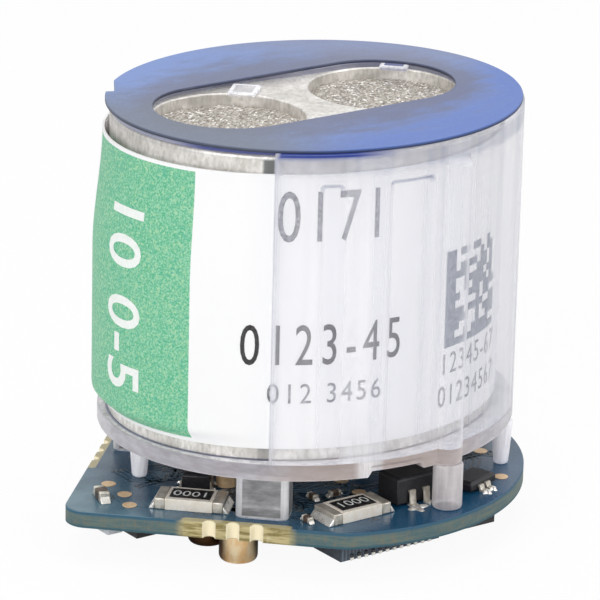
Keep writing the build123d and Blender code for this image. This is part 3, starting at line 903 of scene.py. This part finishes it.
def label_point(turn, height, offset):
    """Points on the label, from angles in radians about the can's axis."""
    return ring(turn, label_reach(turn, height, offset), height, can_x)


def make_label():
    """A sleeve, up its outside and down its inside, carried round from its seam at +Y."""
    turn = np.radians(np.linspace(90 + seam_angle, 450 - seam_angle, 540))[None, :]
    height = np.linspace(label_bottom, label_top, 90)[:, None]
    outside = label_point(turn, height, label_gap + label_thickness)
    inside = label_point(turn, height, label_gap)
    loop = np.concatenate([outside, inside[::-1]])
    heights = np.concatenate([height, height[::-1]])
    skin = Skin("angle", "height").loop(loop, angle=np.degrees(turn) % 360, height=heights)
    piece("printed_label", skin, PACK, paper, ("wrap_label",))


def flat_text(words, size, spacing=1.0, weight=0.0):
    """Plain words as a flat mesh in millimetres, centred, made bolder by a weight."""
    curve = bpy.data.curves.new("words", "FONT")
    curve.body = words
    curve.size = size
    curve.space_character = spacing
    curve.offset = weight
    curve.align_x = "CENTER"
    curve.align_y = "CENTER"
    curve.resolution_u = 4
    holder = bpy.data.objects.new("words", curve)
    bpy.context.scene.collection.objects.link(holder)
    bpy.context.view_layer.update()
    drawn = holder.evaluated_get(bpy.context.evaluated_depsgraph_get())
    mesh = bpy.data.meshes.new_from_object(drawn)
    bpy.data.objects.remove(holder)
    return mesh


def cut_into_strips(mesh, axis, pitch=0.3):
    """Cuts a flat mesh into strips across an axis, so that it can bend."""
    shape = bmesh.new()
    shape.from_mesh(mesh)
    places = [vert.co[axis] for vert in shape.verts]
    normal = [0.0, 0.0, 0.0]
    normal[axis] = 1.0
    for cut in np.arange(min(places) + pitch, max(places), pitch):
        where = [cut * part for part in normal]
        everything = shape.verts[:] + shape.edges[:] + shape.faces[:]
        bmesh.ops.bisect_plane(shape, geom=everything, plane_co=where, plane_no=normal)
    shape.to_mesh(mesh)
    shape.free()


def print_on_label(name, mesh, angle, height, finish, upright=True, widen=1.0):
    """Wraps a flat mesh on to the label, with its middle at an angle and height.

    Width becomes an arc at the label's reach there. A mesh that isn't upright is
    turned first, so that it reads downwards.
    """
    cut_into_strips(mesh, 0 if upright else 1)
    flat = np.zeros(len(mesh.vertices) * 3)
    mesh.vertices.foreach_get("co", flat)
    x, y, _ = flat.reshape(-1, 3).T
    across, upwards = (x, y) if upright else (y, -x)
    centre, paper_face = np.radians(angle), label_gap + label_thickness
    turn = centre + across * widen / label_reach(centre, height, paper_face)
    placed = label_point(turn, height + upwards, paper_face + ink_rise)
    mesh.vertices.foreach_set("co", (placed * MM).ravel())
    close_up(mesh)
    settle(name, mesh, PACK, finish, smooth=0)


def block_pattern():
    """A flat square of random cells, full along its left and bottom sides."""
    rng = np.random.default_rng(11)
    filled = rng.random((pattern_cells, pattern_cells)) < 0.5
    filled[:, :2] = True
    filled[-1, :] = True
    shape = bmesh.new()
    for row, column in np.argwhere(filled):
        left, low = column - pattern_cells / 2, pattern_cells / 2 - row - 1
        square = [(left, low), (left + 1, low), (left + 1, low + 1), (left, low + 1)]
        spots = np.array(square) * pattern_pitch
        shape.faces.new([shape.verts.new((x, y, 0)) for x, y in spots])
    bmesh.ops.remove_doubles(shape, verts=shape.verts, dist=0.001)
    mesh = bpy.data.meshes.new("blocks")
    shape.to_mesh(mesh)
    shape.free()
    return mesh


def make_print():
    """Plain figures on the label, and a block pattern that says nothing."""
    large = flat_text("10 0-5", 3.3, 1.1, 0.04)
    print_on_label("band_figures", large, 181.0, figures_height, white_ink, upright=False)
    # Words, size, spacing, angle, distance below the film's top, ink and width.
    for name, words, size, spacing, angle, drop, ink, widen in (
        ("large_figures", "0171", 3.4, 1.2, -116.8, 3.3, grey_ink, 0.66),
        ("row_figures", "0123-45", 2.75, 1.32, -118.4, 9.3, black_ink, 0.64),
        ("small_figures", "012 3456", 1.35, 1.25, -118.0, 11.55, grey_ink, 0.85),
        ("code_figures_0", "12345-67", 1.45, 1.15, code_angle, 11.2, grey_ink, 0.8),
        ("code_figures_1", "01234567", 1.45, 1.15, code_angle, 12.75, grey_ink, 0.8),
    ):
        mesh = flat_text(words, size, spacing)
        print_on_label(name, mesh, angle, film_top - drop, ink, widen=widen)
    pattern = block_pattern()
    print_on_label("block_pattern", pattern, code_angle, film_top - 8.05, slate_ink, widen=0.98)


# -------------------------------------------------------------------- clear housing
panel_low = can_bottom + panel_bottom_gap
panel_high = can_top - panel_top_gap
rib_top = can_top - panel_bottom_gap
panel_fade = 0.36                # width over which a panel's edge slopes in
rib_fillet = 0.12                # softness of the hollow between a rib and the wall
lip_rounding = 0.1
foot_bead = 0.12                 # height of the bead on which a foot stands, which has a painted highlight
clip_clearance = 0.012           # keeps the clips' undersides off the can's face


def panel_share(angle, height, reach):
    """1 inside the shallow panels of the wall, 0 outside them.

    The distance to a panel's rounded rectangle is worked out along the wall and
    up it, and the share fades in over a short way inside that outline.
    """
    inside = np.zeros(np.broadcast_shapes(angle.shape, height.shape))
    middle, half = (panel_low + panel_high) / 2, (panel_high - panel_low) / 2
    for place, width in panels:
        along = reach * (np.abs(angle) - np.radians(place))
        out_x = np.abs(along) - width / 2 + panel_corner
        out_z = np.abs(height - middle) - half + panel_corner
        outside = np.hypot(np.maximum(out_x, 0), np.maximum(out_z, 0))
        away = outside + np.minimum(np.maximum(out_x, out_z), 0) - panel_corner
        inside = np.maximum(inside, 1 - smoothstep(away, -panel_fade, 0.0))
    return inside


def rib_reach(angle):
    """Distance to the far side of the two round posts, or 0 where they aren't."""
    centre = np.hypot(post_x, post_y)
    turn = np.abs(angle) - np.arctan2(post_y, post_x)
    aside, along = centre * np.sin(turn), centre * np.cos(turn)
    far = along + np.sqrt(np.maximum(post_radius**2 - aside**2, 0))
    return np.where((np.abs(aside) < post_radius) & (along > 0), far, 0)


def wall_reach(angle, height):
    """Distance to the wall's outside, and the share of a panel in it.

    The wall is the oval less its panels. Where a post stands out of it by a
    lift, it gains lift squared over lift plus the fillet.
    """
    oval = oval_reach(angle, housing_a, housing_b, housing_x)
    panel = panel_share(angle, height, oval)
    rib = rib_reach(angle) * (1 - smoothstep(height, rib_top - 0.25, rib_top))
    oval = oval - panel_depth * panel
    lift = np.maximum(rib - oval, 0)
    return oval + lift * lift / (lift + rib_fillet), panel


def lip_edge(angle):
    """Distance to the lip's slot edge, a little outside the film's slot."""
    outline = slot_reach(angle, slot_radius + slot_margin)
    return np.hypot(slot_x + outline * np.cos(angle), slot_y + outline * np.sin(angle))


def fine_angles(low, high):
    """Angles in radians, closer together where the panels and posts are."""
    start, end = 72.0, 128.0
    wide = np.arange(low, high, 1.5)
    close = np.arange(start, end, 0.25)
    kept = np.concatenate([wide[(np.abs(wide) < start) | (np.abs(wide) > end)], close, -close])
    kept = kept[(kept > low) & (kept < high)]
    return np.radians(np.unique(np.concatenate([[low, high], kept])))


def housing_wall(skin):
    """The wall with its lip: a loop of radius and height carried round the angle.

    The loop climbs the outside, goes over the lip, down the lip's slot edge, out
    below the lip and down the cavity.
    """
    angle = fine_angles(window_end - 360, window_start)[None, :]
    height = [np.linspace(can_bottom, can_top - 0.6, 50)]
    height += [panel_low + np.linspace(-0.15, 0.45, 12), panel_high + np.linspace(-0.45, 0.15, 16)]
    height += [np.linspace(can_top - 0.5, film_bottom - lip_rounding, 6)]
    height = np.unique(np.concatenate(height).round(4))[:, None]
    reach, panel = wall_reach(angle, height)
    oval = oval_reach(angle, housing_a, housing_b, housing_x)
    cavity = oval_reach(angle, can_a + cavity_clearance, can_b + cavity_clearance, can_x)
    slot = lip_edge(angle)
    rows = [(reach, height), (oval - 0.3 * lip_rounding, film_bottom - 0.3 * lip_rounding)]
    rows += [(oval - lip_rounding, film_bottom), (slot, film_bottom), (slot, can_top)]
    rows += [(cavity, np.linspace(can_top, can_bottom, 12)[:, None])]
    loop = np.concatenate([ring(angle, away, level) for away, level in rows])
    # How milky the plastic is, and its painted highlights, painted blue and painted shade, point by
    # point.
    signed, high = np.degrees(angle), len(height)
    milk, rim, lip, crease = np.zeros((4, *loop.shape[:2]))
    # Painted shade along the panels' edges, most at their tops, in streaks down the wall and in a
    # band below its top.
    near_top = smoothstep(height, panel_high - 0.5, panel_high - 0.25)
    crease[:high] = 4 * panel * (1 - panel) * (0.02 + 0.8 * near_top)
    for place, width, share in wall_shade_streaks:
        streak = share * np.exp(-(((signed - place) / width) ** 2))
        crease[:high] += streak * smoothstep(height, can_bottom, can_bottom + 1.0)
    crease[: high - 1] += 0.5 * smoothstep(height[:-1], can_top - 0.95, can_top - 0.6)
    milk[:] = 0.06
    milk[:high] = 0.22 + 0.1 * plateau(np.abs(signed), 103.5, 104.5, 116.5, 117.5)
    milk[:high] += 0.1 * (rib_reach(angle) > oval)
    # The film's blue painted into the lip as a reflection, full up to -116 degrees and gone by -94.
    glow = 1 - smoothstep(signed, -116.0, -94.0)
    lip[high - 2] = 0.35 * glow
    lip[high - 1 : high + 2] = 0.2 + 0.8 * glow
    lip[high + 2 : high + 4] = 0.5
    lip[:, [0, -1]] = 0.0
    # Painted highlights on the end faces at the window, and low down on the band between the
    # panels.
    rim[:, [0, -1]] = 0.5
    low_down = 1 - smoothstep(height, can_bottom + 0.6, can_bottom + 2.0)
    broad = plateau(np.abs(signed), 101.5, 106.0, 112.5, 118.0)
    rim[:high] = np.maximum(rim[:high], 0.55 * broad * low_down)
    skin.loop(loop, milk=milk, rim=rim, lip=lip, crease=np.clip(crease, 0, 1))


def housing_floor(skin):
    """The floor: rings from its centre out, up its edge and back in below the can.

    Near the edge the rings below are raised by the arches.
    """
    around = fine_angles(-180.0, 180.0)[None, :-1]
    edge, _ = wall_reach(around, np.full_like(around, can_bottom - 0.01))
    share = np.concatenate([np.linspace(0, 0.8, 8), np.linspace(0.82, 0.985, 14)])[:, None]
    oval = oval_reach(around, housing_a, housing_b, housing_x)
    along = oval * (np.abs(around) - np.radians(arch_angle))
    arch = 1 - smoothstep(np.abs(along), arch_width / 2 - 0.25, arch_width / 2)
    arch = arch * arch_height
    inward = smoothstep(share * edge, edge - arch_depth - 0.2, edge - arch_depth)
    shelf = oval_reach(around, can_a, can_b, can_x)
    rows = [(share * edge, floor_bottom + arch * inward)]
    rows += [(0.997 * edge, floor_bottom + arch + 0.03), (edge, floor_bottom + arch + 0.1)]
    rows += [(edge, floor_bottom + arch + 0.3), (edge, can_bottom - 0.3)]
    rows += [(edge, can_bottom - 0.1), (0.997 * edge, can_bottom - 0.02)]
    inner = (0.99 * edge, shelf + 0.12, shelf + 0.06, 0.5 * edge, 0.0 * edge)
    rows += [(away, can_bottom - 0.004) for away in inner]
    disc = np.concatenate([ring(around, away, level) for away, level in rows])
    first = len(share)
    milk, rim, crease = np.zeros((3, *disc.shape[:2]))
    milk[:] = 0.44
    milk[first : first + 6] = 0.6
    # Painted highlights on the floor's lower outer edge, on its top round the can, and on its edge
    # from 103 to 113 degrees.
    rim[first - 1 : first + 1] = 0.35
    rim[-5:-3] = 0.8
    rim[first : first + 6] += 0.7 * plateau(np.degrees(np.abs(around)), 103, 105, 110, 113)
    # Painted shade of the gap below the can, strongest in the window.
    crease[-3:] = np.where(np.cos(around - window_middle) > window_edge, 0.9, 0.3)
    skin.grid(disc, wrap_columns=True, milk=milk, rim=rim, crease=crease)


def window_lip(skin):
    """The lip over the window, which reaches only as far out as the can."""
    over = np.radians(np.linspace(window_start - 0.3, window_end + 0.3, 120))[None, :]
    out, into = oval_reach(over, can_a, can_b, can_x), lip_edge(over)
    rows = [(out, can_top), (out, film_bottom - 0.1), (out, film_bottom - 0.06)]
    rows += [(out - 0.02, film_bottom - 0.004), (into, film_bottom - 0.004), (into, can_top)]
    band = np.concatenate([ring(over, away, level) for away, level in rows])
    deep = smoothstep(np.degrees(over), 188.0, 204.0)
    # Where the film's painted blue is faint, a painted highlight and painted shade; where it is
    # deep, the film's painted blue.
    rim = np.array([[0.2], [0.2], [0.1], [0.0], [0.0], [0.0]]) * (1 - deep)
    lip = np.array([[0.9], [0.9], [0.9], [0.6], [0.5], [0.5]]) * deep
    skin.loop(band, milk=0.4, rim=rim, lip=lip, crease=0.8 * (1 - deep))


def round_foot(skin, x, y, base, top, rounding, milk, rim):
    """A turned foot from the board up to the floor, wider or narrower at its top."""
    profile = [(0, board_top), (base, board_top), (top, floor_bottom), (0, floor_bottom)]
    profile = bent(profile, rounding)
    # A painted highlight on the bead where the foot meets the board.
    bead = np.where(profile[:, 1:] < board_top + foot_bead, 0.8, 0.0)
    turned(skin, profile, x, y, milk=milk, rim=np.maximum(bead, rim))


def plug(middle, heading, sizes, corner, levels, lip=0.0):
    """A block with rounded corners, its outline carried up through levels.

    A level gives its height, how far its outline is drawn in, and how bright its
    painted rim highlight is. The lip value, the film's painted blue, tints the
    levels that have no rim highlight.
    """
    outline = rounded_rectangle(*sizes, corner)
    outwards, sideways = directions(heading)
    rows, rims, lips = [], [], []
    for height, tuck, bright in levels:
        flat = outline * (1 - 2 * tuck / np.array(sizes))
        spot = middle + flat[:, :1] * outwards + flat[:, 1:] * sideways
        rows.append(np.column_stack([spot, np.full(len(spot), height)]))
        rims.append(np.full(len(spot), bright))
        lips.append(np.full(len(spot), lip * (bright == 0)))
    return np.array(rows), np.array(rims), np.array(lips)


def block_foot(skin, side):
    """A square foot below the wall's front edge, thick, with painted highlights on its rims."""
    heading = math.radians(135) * side
    outwards, sideways = directions(heading)
    middle = outwards * (block_reach - block_depth / 2) + sideways * block_shift * -side
    levels = [(board_top, 0.3, 0.0), (board_top, 0.16, 1.0), (board_top + 0.05, 0.05, 1.0)]
    levels += [(board_top + foot_bead, 0.0, 0.8), (board_top + 0.22, 0.0, 0.0)]
    levels += [(floor_bottom - 0.3, 0.0, 0.0), (floor_bottom - 0.1, 0.0, 0.8)]
    levels += [(floor_bottom, 0.02, 0.8)]
    rows, rims, lips = plug(middle, heading, (block_depth, block_width), block_corner, levels)
    # Painted highlights down the rounded corners.
    corner = [0.0] + [0.7] * (corner_steps + 1) + [0.0]
    rims = np.maximum(rims, np.tile(corner, 4))
    skin.grid(rows, wrap_columns=True, capped=True, milk=0.75, rim=rims, lip=lips)


def clip(skin, x, y, lip):
    """A clear tongue from the lip over a frit's rim, along the diagonal."""
    heading = math.radians(45)
    outwards, _ = directions(heading)
    tip = np.array([x, y]) + outwards * (frit_radius - clip_reach)
    foot = can_top + clip_clearance
    # The head's bright levels are painted highlights.
    head = [(foot, 0.1, 0.0), (foot, 0.02, 0.5), (film_bottom - 0.05, 0.0, 1.0)]
    head += [(film_bottom, 0.05, 1.0), (film_bottom, 0.2, 1.0), (film_bottom, 0.24, 0.0)]
    tongue = [(foot, 0.02, 0.0), (film_bottom - 0.01, 0.02, 0.0)]
    parts = [(clip_head, head, lip, 0.1), (clip_length, tongue, 0.0, 0.02)]
    for length, levels, tint, milk in parts:
        middle = tip + outwards * length / 2
        rows, rims, lips = plug(middle, heading, (length, clip_width), 0.1, levels, tint)
        skin.grid(rows, wrap_columns=True, capped=True, milk=milk, rim=rims, lip=lips)


def make_housing():
    """The clear moulding: wall and lip, floor, lip over the window, feet and clips."""
    skin = Skin("milk", "rim", "lip", "crease")
    housing_wall(skin)
    housing_floor(skin)
    window_lip(skin)
    # The feet's rim values are painted highlights, with a painted glow near 1.
    for side in (-1, 1):
        round_foot(skin, post_x, side * post_y, post_radius, post_radius, 0.14, 0.46, 0.5)
        block_foot(skin, side)
    for x, y in small_feet:
        round_foot(skin, x, y, small_foot_base, small_foot_top, 0.16, 0.6, 0.95)
    # The second clip's head carries the film's painted blue.
    for (x, y), lip in zip(frit_centres, (0.0, 0.75)):
        clip(skin, x, y, lip)
    piece("clear_moulding", skin, PACK, clear, ("clear_housing",))


# ------------------------------------------------------------------- circuit board
def bite_centres():
    """Centres of the drilled holes along both straight edges."""
    foot = board_flat / np.sqrt(2)
    first = bite_middle - bite_pitch * (bite_count - 1) / 2
    steps = (first + np.arange(bite_count) * bite_pitch) / np.sqrt(2)
    return [(-foot + step, side * (foot + step)) for side in (-1, 1) for step in steps]


def board_reach(angle):
    """Distance to the board's outline: a circle, two straight edges, a round corner."""
    turn = np.abs(angle)
    straight = board_flat / np.cos(turn - np.radians(135))
    bend = np.radians(135) - np.arccos(board_flat / board_radius)
    reach = np.where(turn > bend, straight, board_radius)
    corner = (board_flat - board_corner_radius) * np.sqrt(2)
    aside = corner * np.sin(np.pi - turn)
    along = corner * np.cos(np.pi - turn)
    rounded = along + np.sqrt(np.maximum(board_corner_radius**2 - aside**2, 0))
    touch = board_corner_radius / np.sqrt(2)
    at_corner = turn > np.pi - np.arctan2(touch, corner + touch)
    reach = np.where(at_corner, rounded, reach)
    for x, y in bite_centres():
        centre, off_angle = np.hypot(x, y), angle - np.arctan2(y, x)
        aside, along = centre * np.sin(off_angle), centre * np.cos(off_angle)
        near = along - np.sqrt(np.maximum(bite_radius**2 - aside**2, 0))
        hit = (np.abs(aside) < bite_radius) & (along > 0)
        reach = np.where(hit, np.minimum(reach, near), reach)
    return reach


def bare_marks(points):
    """Where the board's edge is bare, and where a drilled hole is close by.

    Along and out are distances along a straight edge and square to it. The edge
    is bare on a stretch round its holes.
    """
    x, y = points[..., 0], points[..., 1]
    along, out = (x + np.abs(y)) / np.sqrt(2), (np.abs(y) - x) / np.sqrt(2)
    stretch = 1 - smoothstep(np.abs(along - bare_middle), bare_half - 0.3, bare_half + 0.3)
    bare = stretch * smoothstep(out, board_flat - 0.5, board_flat - 0.3)
    gap = np.min([np.hypot(x - hole_x, y - hole_y) for hole_x, hole_y in bite_centres()], 0)
    return bare, 1 - smoothstep(gap, bite_radius + 0.01, bite_radius + 0.06)


def make_board():
    """The board as a radial grid: out across the top, down the edge, back below."""
    coarse = np.arange(-180, 180, 0.75)
    fine = np.arange(118, 170, 0.12)
    degrees = np.unique(np.concatenate([coarse, fine, -fine]))
    angle = np.radians(degrees)[None, :]
    reach = board_reach(angle)
    share = np.concatenate([np.linspace(0, 0.9, 10), np.linspace(0.92, 0.99, 6)])[:, None]
    top = ring(angle, share * reach, board_top)
    edge_share = np.array([[0.9965], [1.0], [1.0], [1.0], [1.0], [0.9965]])
    edge_height = np.array([[board_top], [board_top - 0.035], [0.55], [0.25], [0.035], [0.0]])
    edge = ring(angle, edge_share * reach, edge_height)
    below = ring(angle, share[::-1] * reach, 0.0)
    points = np.concatenate([top, edge, below])
    side = np.zeros(points.shape[:2])
    side[len(share) + 1 : len(share) + 5] = 1.0
    bare, bite = bare_marks(points)
    skin = Skin("side", "bare", "bite")
    skin.grid(points, wrap_columns=True, side=side, bare=bare, bite=bite)
    piece("board_laminate", skin, BOARD, mask, ("circuit_board",))


def on_board(points, margin):
    """Whether points lie on the board, at least a margin inside its outline."""
    x, y = points[:, 0], np.abs(points[:, 1])
    away = np.hypot(x, y)
    off_flats = y - x < (board_flat - margin) * np.sqrt(2)
    off_corner = away < board_radius * 1.15 - margin
    return np.all(np.where(x > -4, away < board_radius - margin, off_flats & off_corner))


def make_tracks():
    """Bundles of parallel tracks that turn by 45 degrees, with a via at each end.

    Each track is a thin strip carried along its path; a corner is mitred by
    dividing the sum of its two normals by one plus their dot product.
    """
    rng = np.random.default_rng(23)
    skin = Skin("light", "via", "hole")
    top = board_top + track_height
    made = 0
    while made < track_bundles:
        start = rng.uniform(-board_radius * 1.2, board_radius, 2)
        turns = np.cumsum(np.concatenate([[rng.integers(8)], rng.choice([-1, 1], 3)])) * np.pi / 4
        steps = rng.uniform(0.5, 2.4, 4)[:, None] * np.column_stack([np.cos(turns), np.sin(turns)])
        path = np.concatenate([[start], start + np.cumsum(steps, 0)])
        if not on_board(path, track_margin):
            continue
        made += 1
        normals = np.column_stack([-np.sin(turns), np.cos(turns)])
        before = np.concatenate([normals[:1], normals])
        after = np.concatenate([normals, normals[-1:]])
        mitre = (before + after) / (1 + np.sum(before * after, 1))[:, None]
        light = rng.uniform(0, 1) ** 2
        for lane in range(rng.integers(1, 4)):
            offset = lane * track_pitch
            sides = [path + mitre * (offset + half * track_width / 2) for half in (-1, 1)]
            left, right = (np.column_stack([edge, np.full(len(path), top)]) for edge in sides)
            down = np.array([0, 0, track_height + 0.01])
            strip = np.stack([left, right, right - down, left - down], 1)
            skin.grid(strip, wrap_columns=True, capped=True, light=light)
            for x, y in (path + mitre * offset)[[0, -1]]:
                via(skin, x, y, top)
    piece("masked_tracks", skin, BOARD, copper)


def via(skin, x, y, top):
    """A small plated ring round a shallow hole painted dark as its shade."""
    profile = [(0, top - 0.004), (0.055, top - 0.004), (0.065, top + 0.006), (0.12, top + 0.006)]
    profile = np.array(profile + [(0.14, top - 0.02), (0, top - 0.02)])
    turned(skin, profile, x, y, 14, via=1.0, hole=(profile[:, :1] < 0.06) * 1.0)


# ------------------------------------------------------------------ small hardware
def make_contact_pins():
    """Turned pins with a rounded end, and a thin tail up through the board."""
    low, high = corners("contact_pins")
    radius = (high[0] - low[0]) / 2
    x = (low[0] + high[0]) / 2
    shank = [(0, low[2]), (radius, low[2]), (radius, -0.12), (radius - 0.06, 0.0), (0, 0.0)]
    thin = contact_tail_radius
    tail = [(0, -0.01), (thin, -0.01), (thin, high[2]), (0, high[2])]
    skin = Skin("facing")
    side = np.cos(np.linspace(0, 2 * np.pi, 72, endpoint=False) - math.radians(highlight_side))
    # The rear pin is set further into painted shade.
    for y, pin_shade in ((low[1] + radius, 0.0), (high[1] - radius, -0.75)):
        turned(skin, bent(shank, 0.3, 8), x, y, 72, facing=side[None, :] + pin_shade)
        turned(skin, tail, x, y, 36)
    piece("turned_pins", skin, BOARD, brass, ("contact_pins",))


def make_lead_solder():
    """Four-pointed blobs of solder round the leads' feet.

    A blob's outline is its size times 1 plus a share of the cosine of four times
    the angle, and a smaller share of three times; its height is a low dome.
    """
    skin = Skin()
    angle = np.linspace(0, 2 * np.pi, 40, endpoint=False)[None, :]
    share = np.array([[1.0], [0.9], [0.65], [0.35], [0.0]])
    rise = np.array([[0.0], [0.035], [0.08], [0.11], [0.12]])
    for (x, y), turn, width, leads, reach in lead_groups:
        heading = math.radians(turn)
        along, across = directions(heading)
        for side in (-1, 1):
            for place, size in leads:
                foot = np.array([x, y]) + along * place * side
                foot = foot + across * side * (width / 2 + reach * 0.9 + size * 0.3)
                radius = size * (1 + 0.38 * np.cos(4 * angle) + 0.16 * np.cos(3 * angle + place))
                flat = share * radius
                level = board_top + rise * (1 + 0.2 * np.cos(4 * angle) * share)
                skin.grid(ring(angle + heading, flat, level, *foot), wrap_columns=True, capped=True)
    piece("lead_solder", skin, BOARD, wetted)


def carry(name, finish):
    """Gives a CAD node that stays in view its finish."""
    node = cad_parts[name]
    for place in node.material_slots:
        place.material = finish.material


def make_resistor_figures():
    """Plain figures on the two resistors' glaze, lying along each resistor."""
    top = corners("resistor_glaze")[1][2]
    for name, (x, y, turn) in figure_places.items():
        mesh = flat_text("1000", 0.86)
        place = Matrix.Translation(Vector((x, y, top + ink_rise / 2)) * MM)
        mesh.transform(place @ Matrix.Rotation(math.radians(turn), 4, "Z") @ Matrix.Scale(MM, 4))
        settle(f"resistor_figures_{name}", mesh, BOARD, white_ink, smooth=0)


softened("can_shell", "sensor_can", steel, 0.07, PACK, 3)
make_frits()
make_film()
make_label()
make_print()
make_housing()
make_board()
make_tracks()
make_lead_solder()
make_contact_pins()
make_resistor_figures()
softened("resistor_blocks", "resistor_bodies", alumina, 0.03)
softened("resistor_caps", "resistor_end_caps", tin, 0.06)
softened("resistor_windows", "resistor_glaze", glaze, 0.01)
softened("capacitor_blocks", "capacitor_bodies", brown, 0.04)
softened("capacitor_caps", "capacitor_end_caps", tin, 0.06)
softened("amplifier_package", "amplifier_chip", black, 0.04)
softened("regulator_package", "regulator_chip", black, 0.04)
softened("reference_package", "reference_chip", black, 0.04)
softened("memory_package", "memory_chip", black, 0.03)
softened("driver_package", "driver_chip", black, 0.03)
softened("filter_block", "filter_chip", pale, 0.04)
softened("formed_leads", "chip_leads", tin, 0.03)
softened("connector_shell", "board_connector", connector, 0.03)
softened("connector_pads", "connector_contacts", contact, 0.015, segments=1)
softened("solder_fillets", "solder_joints", wetted, 0.05)
softened("gold_lands", "test_pads", gold, 0.008, segments=1)
softened("gold_sockets", "pin_sockets", gold, 0.04)
for node, finish in (
    ("potting", resin),
    ("header", grey),
    ("divider", grey),
    ("sensor_pins", nickel),
    ("detector_element", fired),
    ("compensator_element", fired),
):
    carry(node, finish)


# --------------------------------------------------------------- floor and lights
floor_side = 2400.0
floor_gap = 0.02
lamp_aim = Vector((0, 0, 9))


def make_stage():
    """A pale floor that reads white to the camera but keeps a soft shadow."""
    finish = Finish("pale floor")
    diffuse = finish.node("BsdfDiffuse", {}, {"Color": rgb(250, 250, 250)})
    glow = finish.node("Emission", {}, {"Color": (1, 1, 1, 1), "Strength": 1.0})
    ray = finish.node("LightPath", output="Is Camera Ray")
    finish.show(finish.node("MixShader", {}, {0: ray * 0.94, 1: diffuse, 2: glow}))
    low, side = cad_low[2] - floor_gap * MM, floor_side * MM / 2
    mesh = bpy.data.meshes.new("floor")
    square = [(-side, -side, low), (side, -side, low), (side, side, low), (-side, side, low)]
    mesh.from_pydata(square, [], [(0, 1, 2, 3)])
    mesh.materials.append(finish.material)
    floor = bpy.data.objects.new("floor", mesh)
    bpy.context.scene.collection.objects.link(floor)


def lamp(name, place, size, power):
    """A square soft lamp, in millimetres, that faces the object."""
    data = bpy.data.lights.new(name, "AREA")
    data.shape = "SQUARE"
    data.size = size * MM
    data.energy = power
    thing = bpy.data.objects.new(name, data)
    bpy.context.scene.collection.objects.link(thing)
    aim = lamp_aim - Vector(place)
    thing.location = Vector(place) * MM
    thing.rotation_euler = aim.to_track_quat("-Z", "Y").to_euler()


def make_light():
    """Surroundings that are white to look at and dimmer as light, and three soft lamps."""
    world = bpy.data.worlds.new("studio")
    bpy.context.scene.world = world
    sky = Finish("studio", world)
    path = sky.node("LightPath", output="Is Camera Ray")
    seen = path
    for other in ("Is Glossy Ray", "Is Transmission Ray"):
        seen = seen.math("MAXIMUM", seen, path.out(other))
    strength = sky.spread(seen, 0.36, 1.0)
    white = {"Color": (1, 1, 1, 1), "Strength": strength}
    sky.show(sky.node("Background", {}, white), "World")
    lamp("left lamp", (-220, -120, 150), 160, 0.34)
    lamp("right lamp", (160, -230, 120), 140, 0.20)
    lamp("top lamp", (20, 40, 280), 200, 0.33)


make_stage()
make_light()
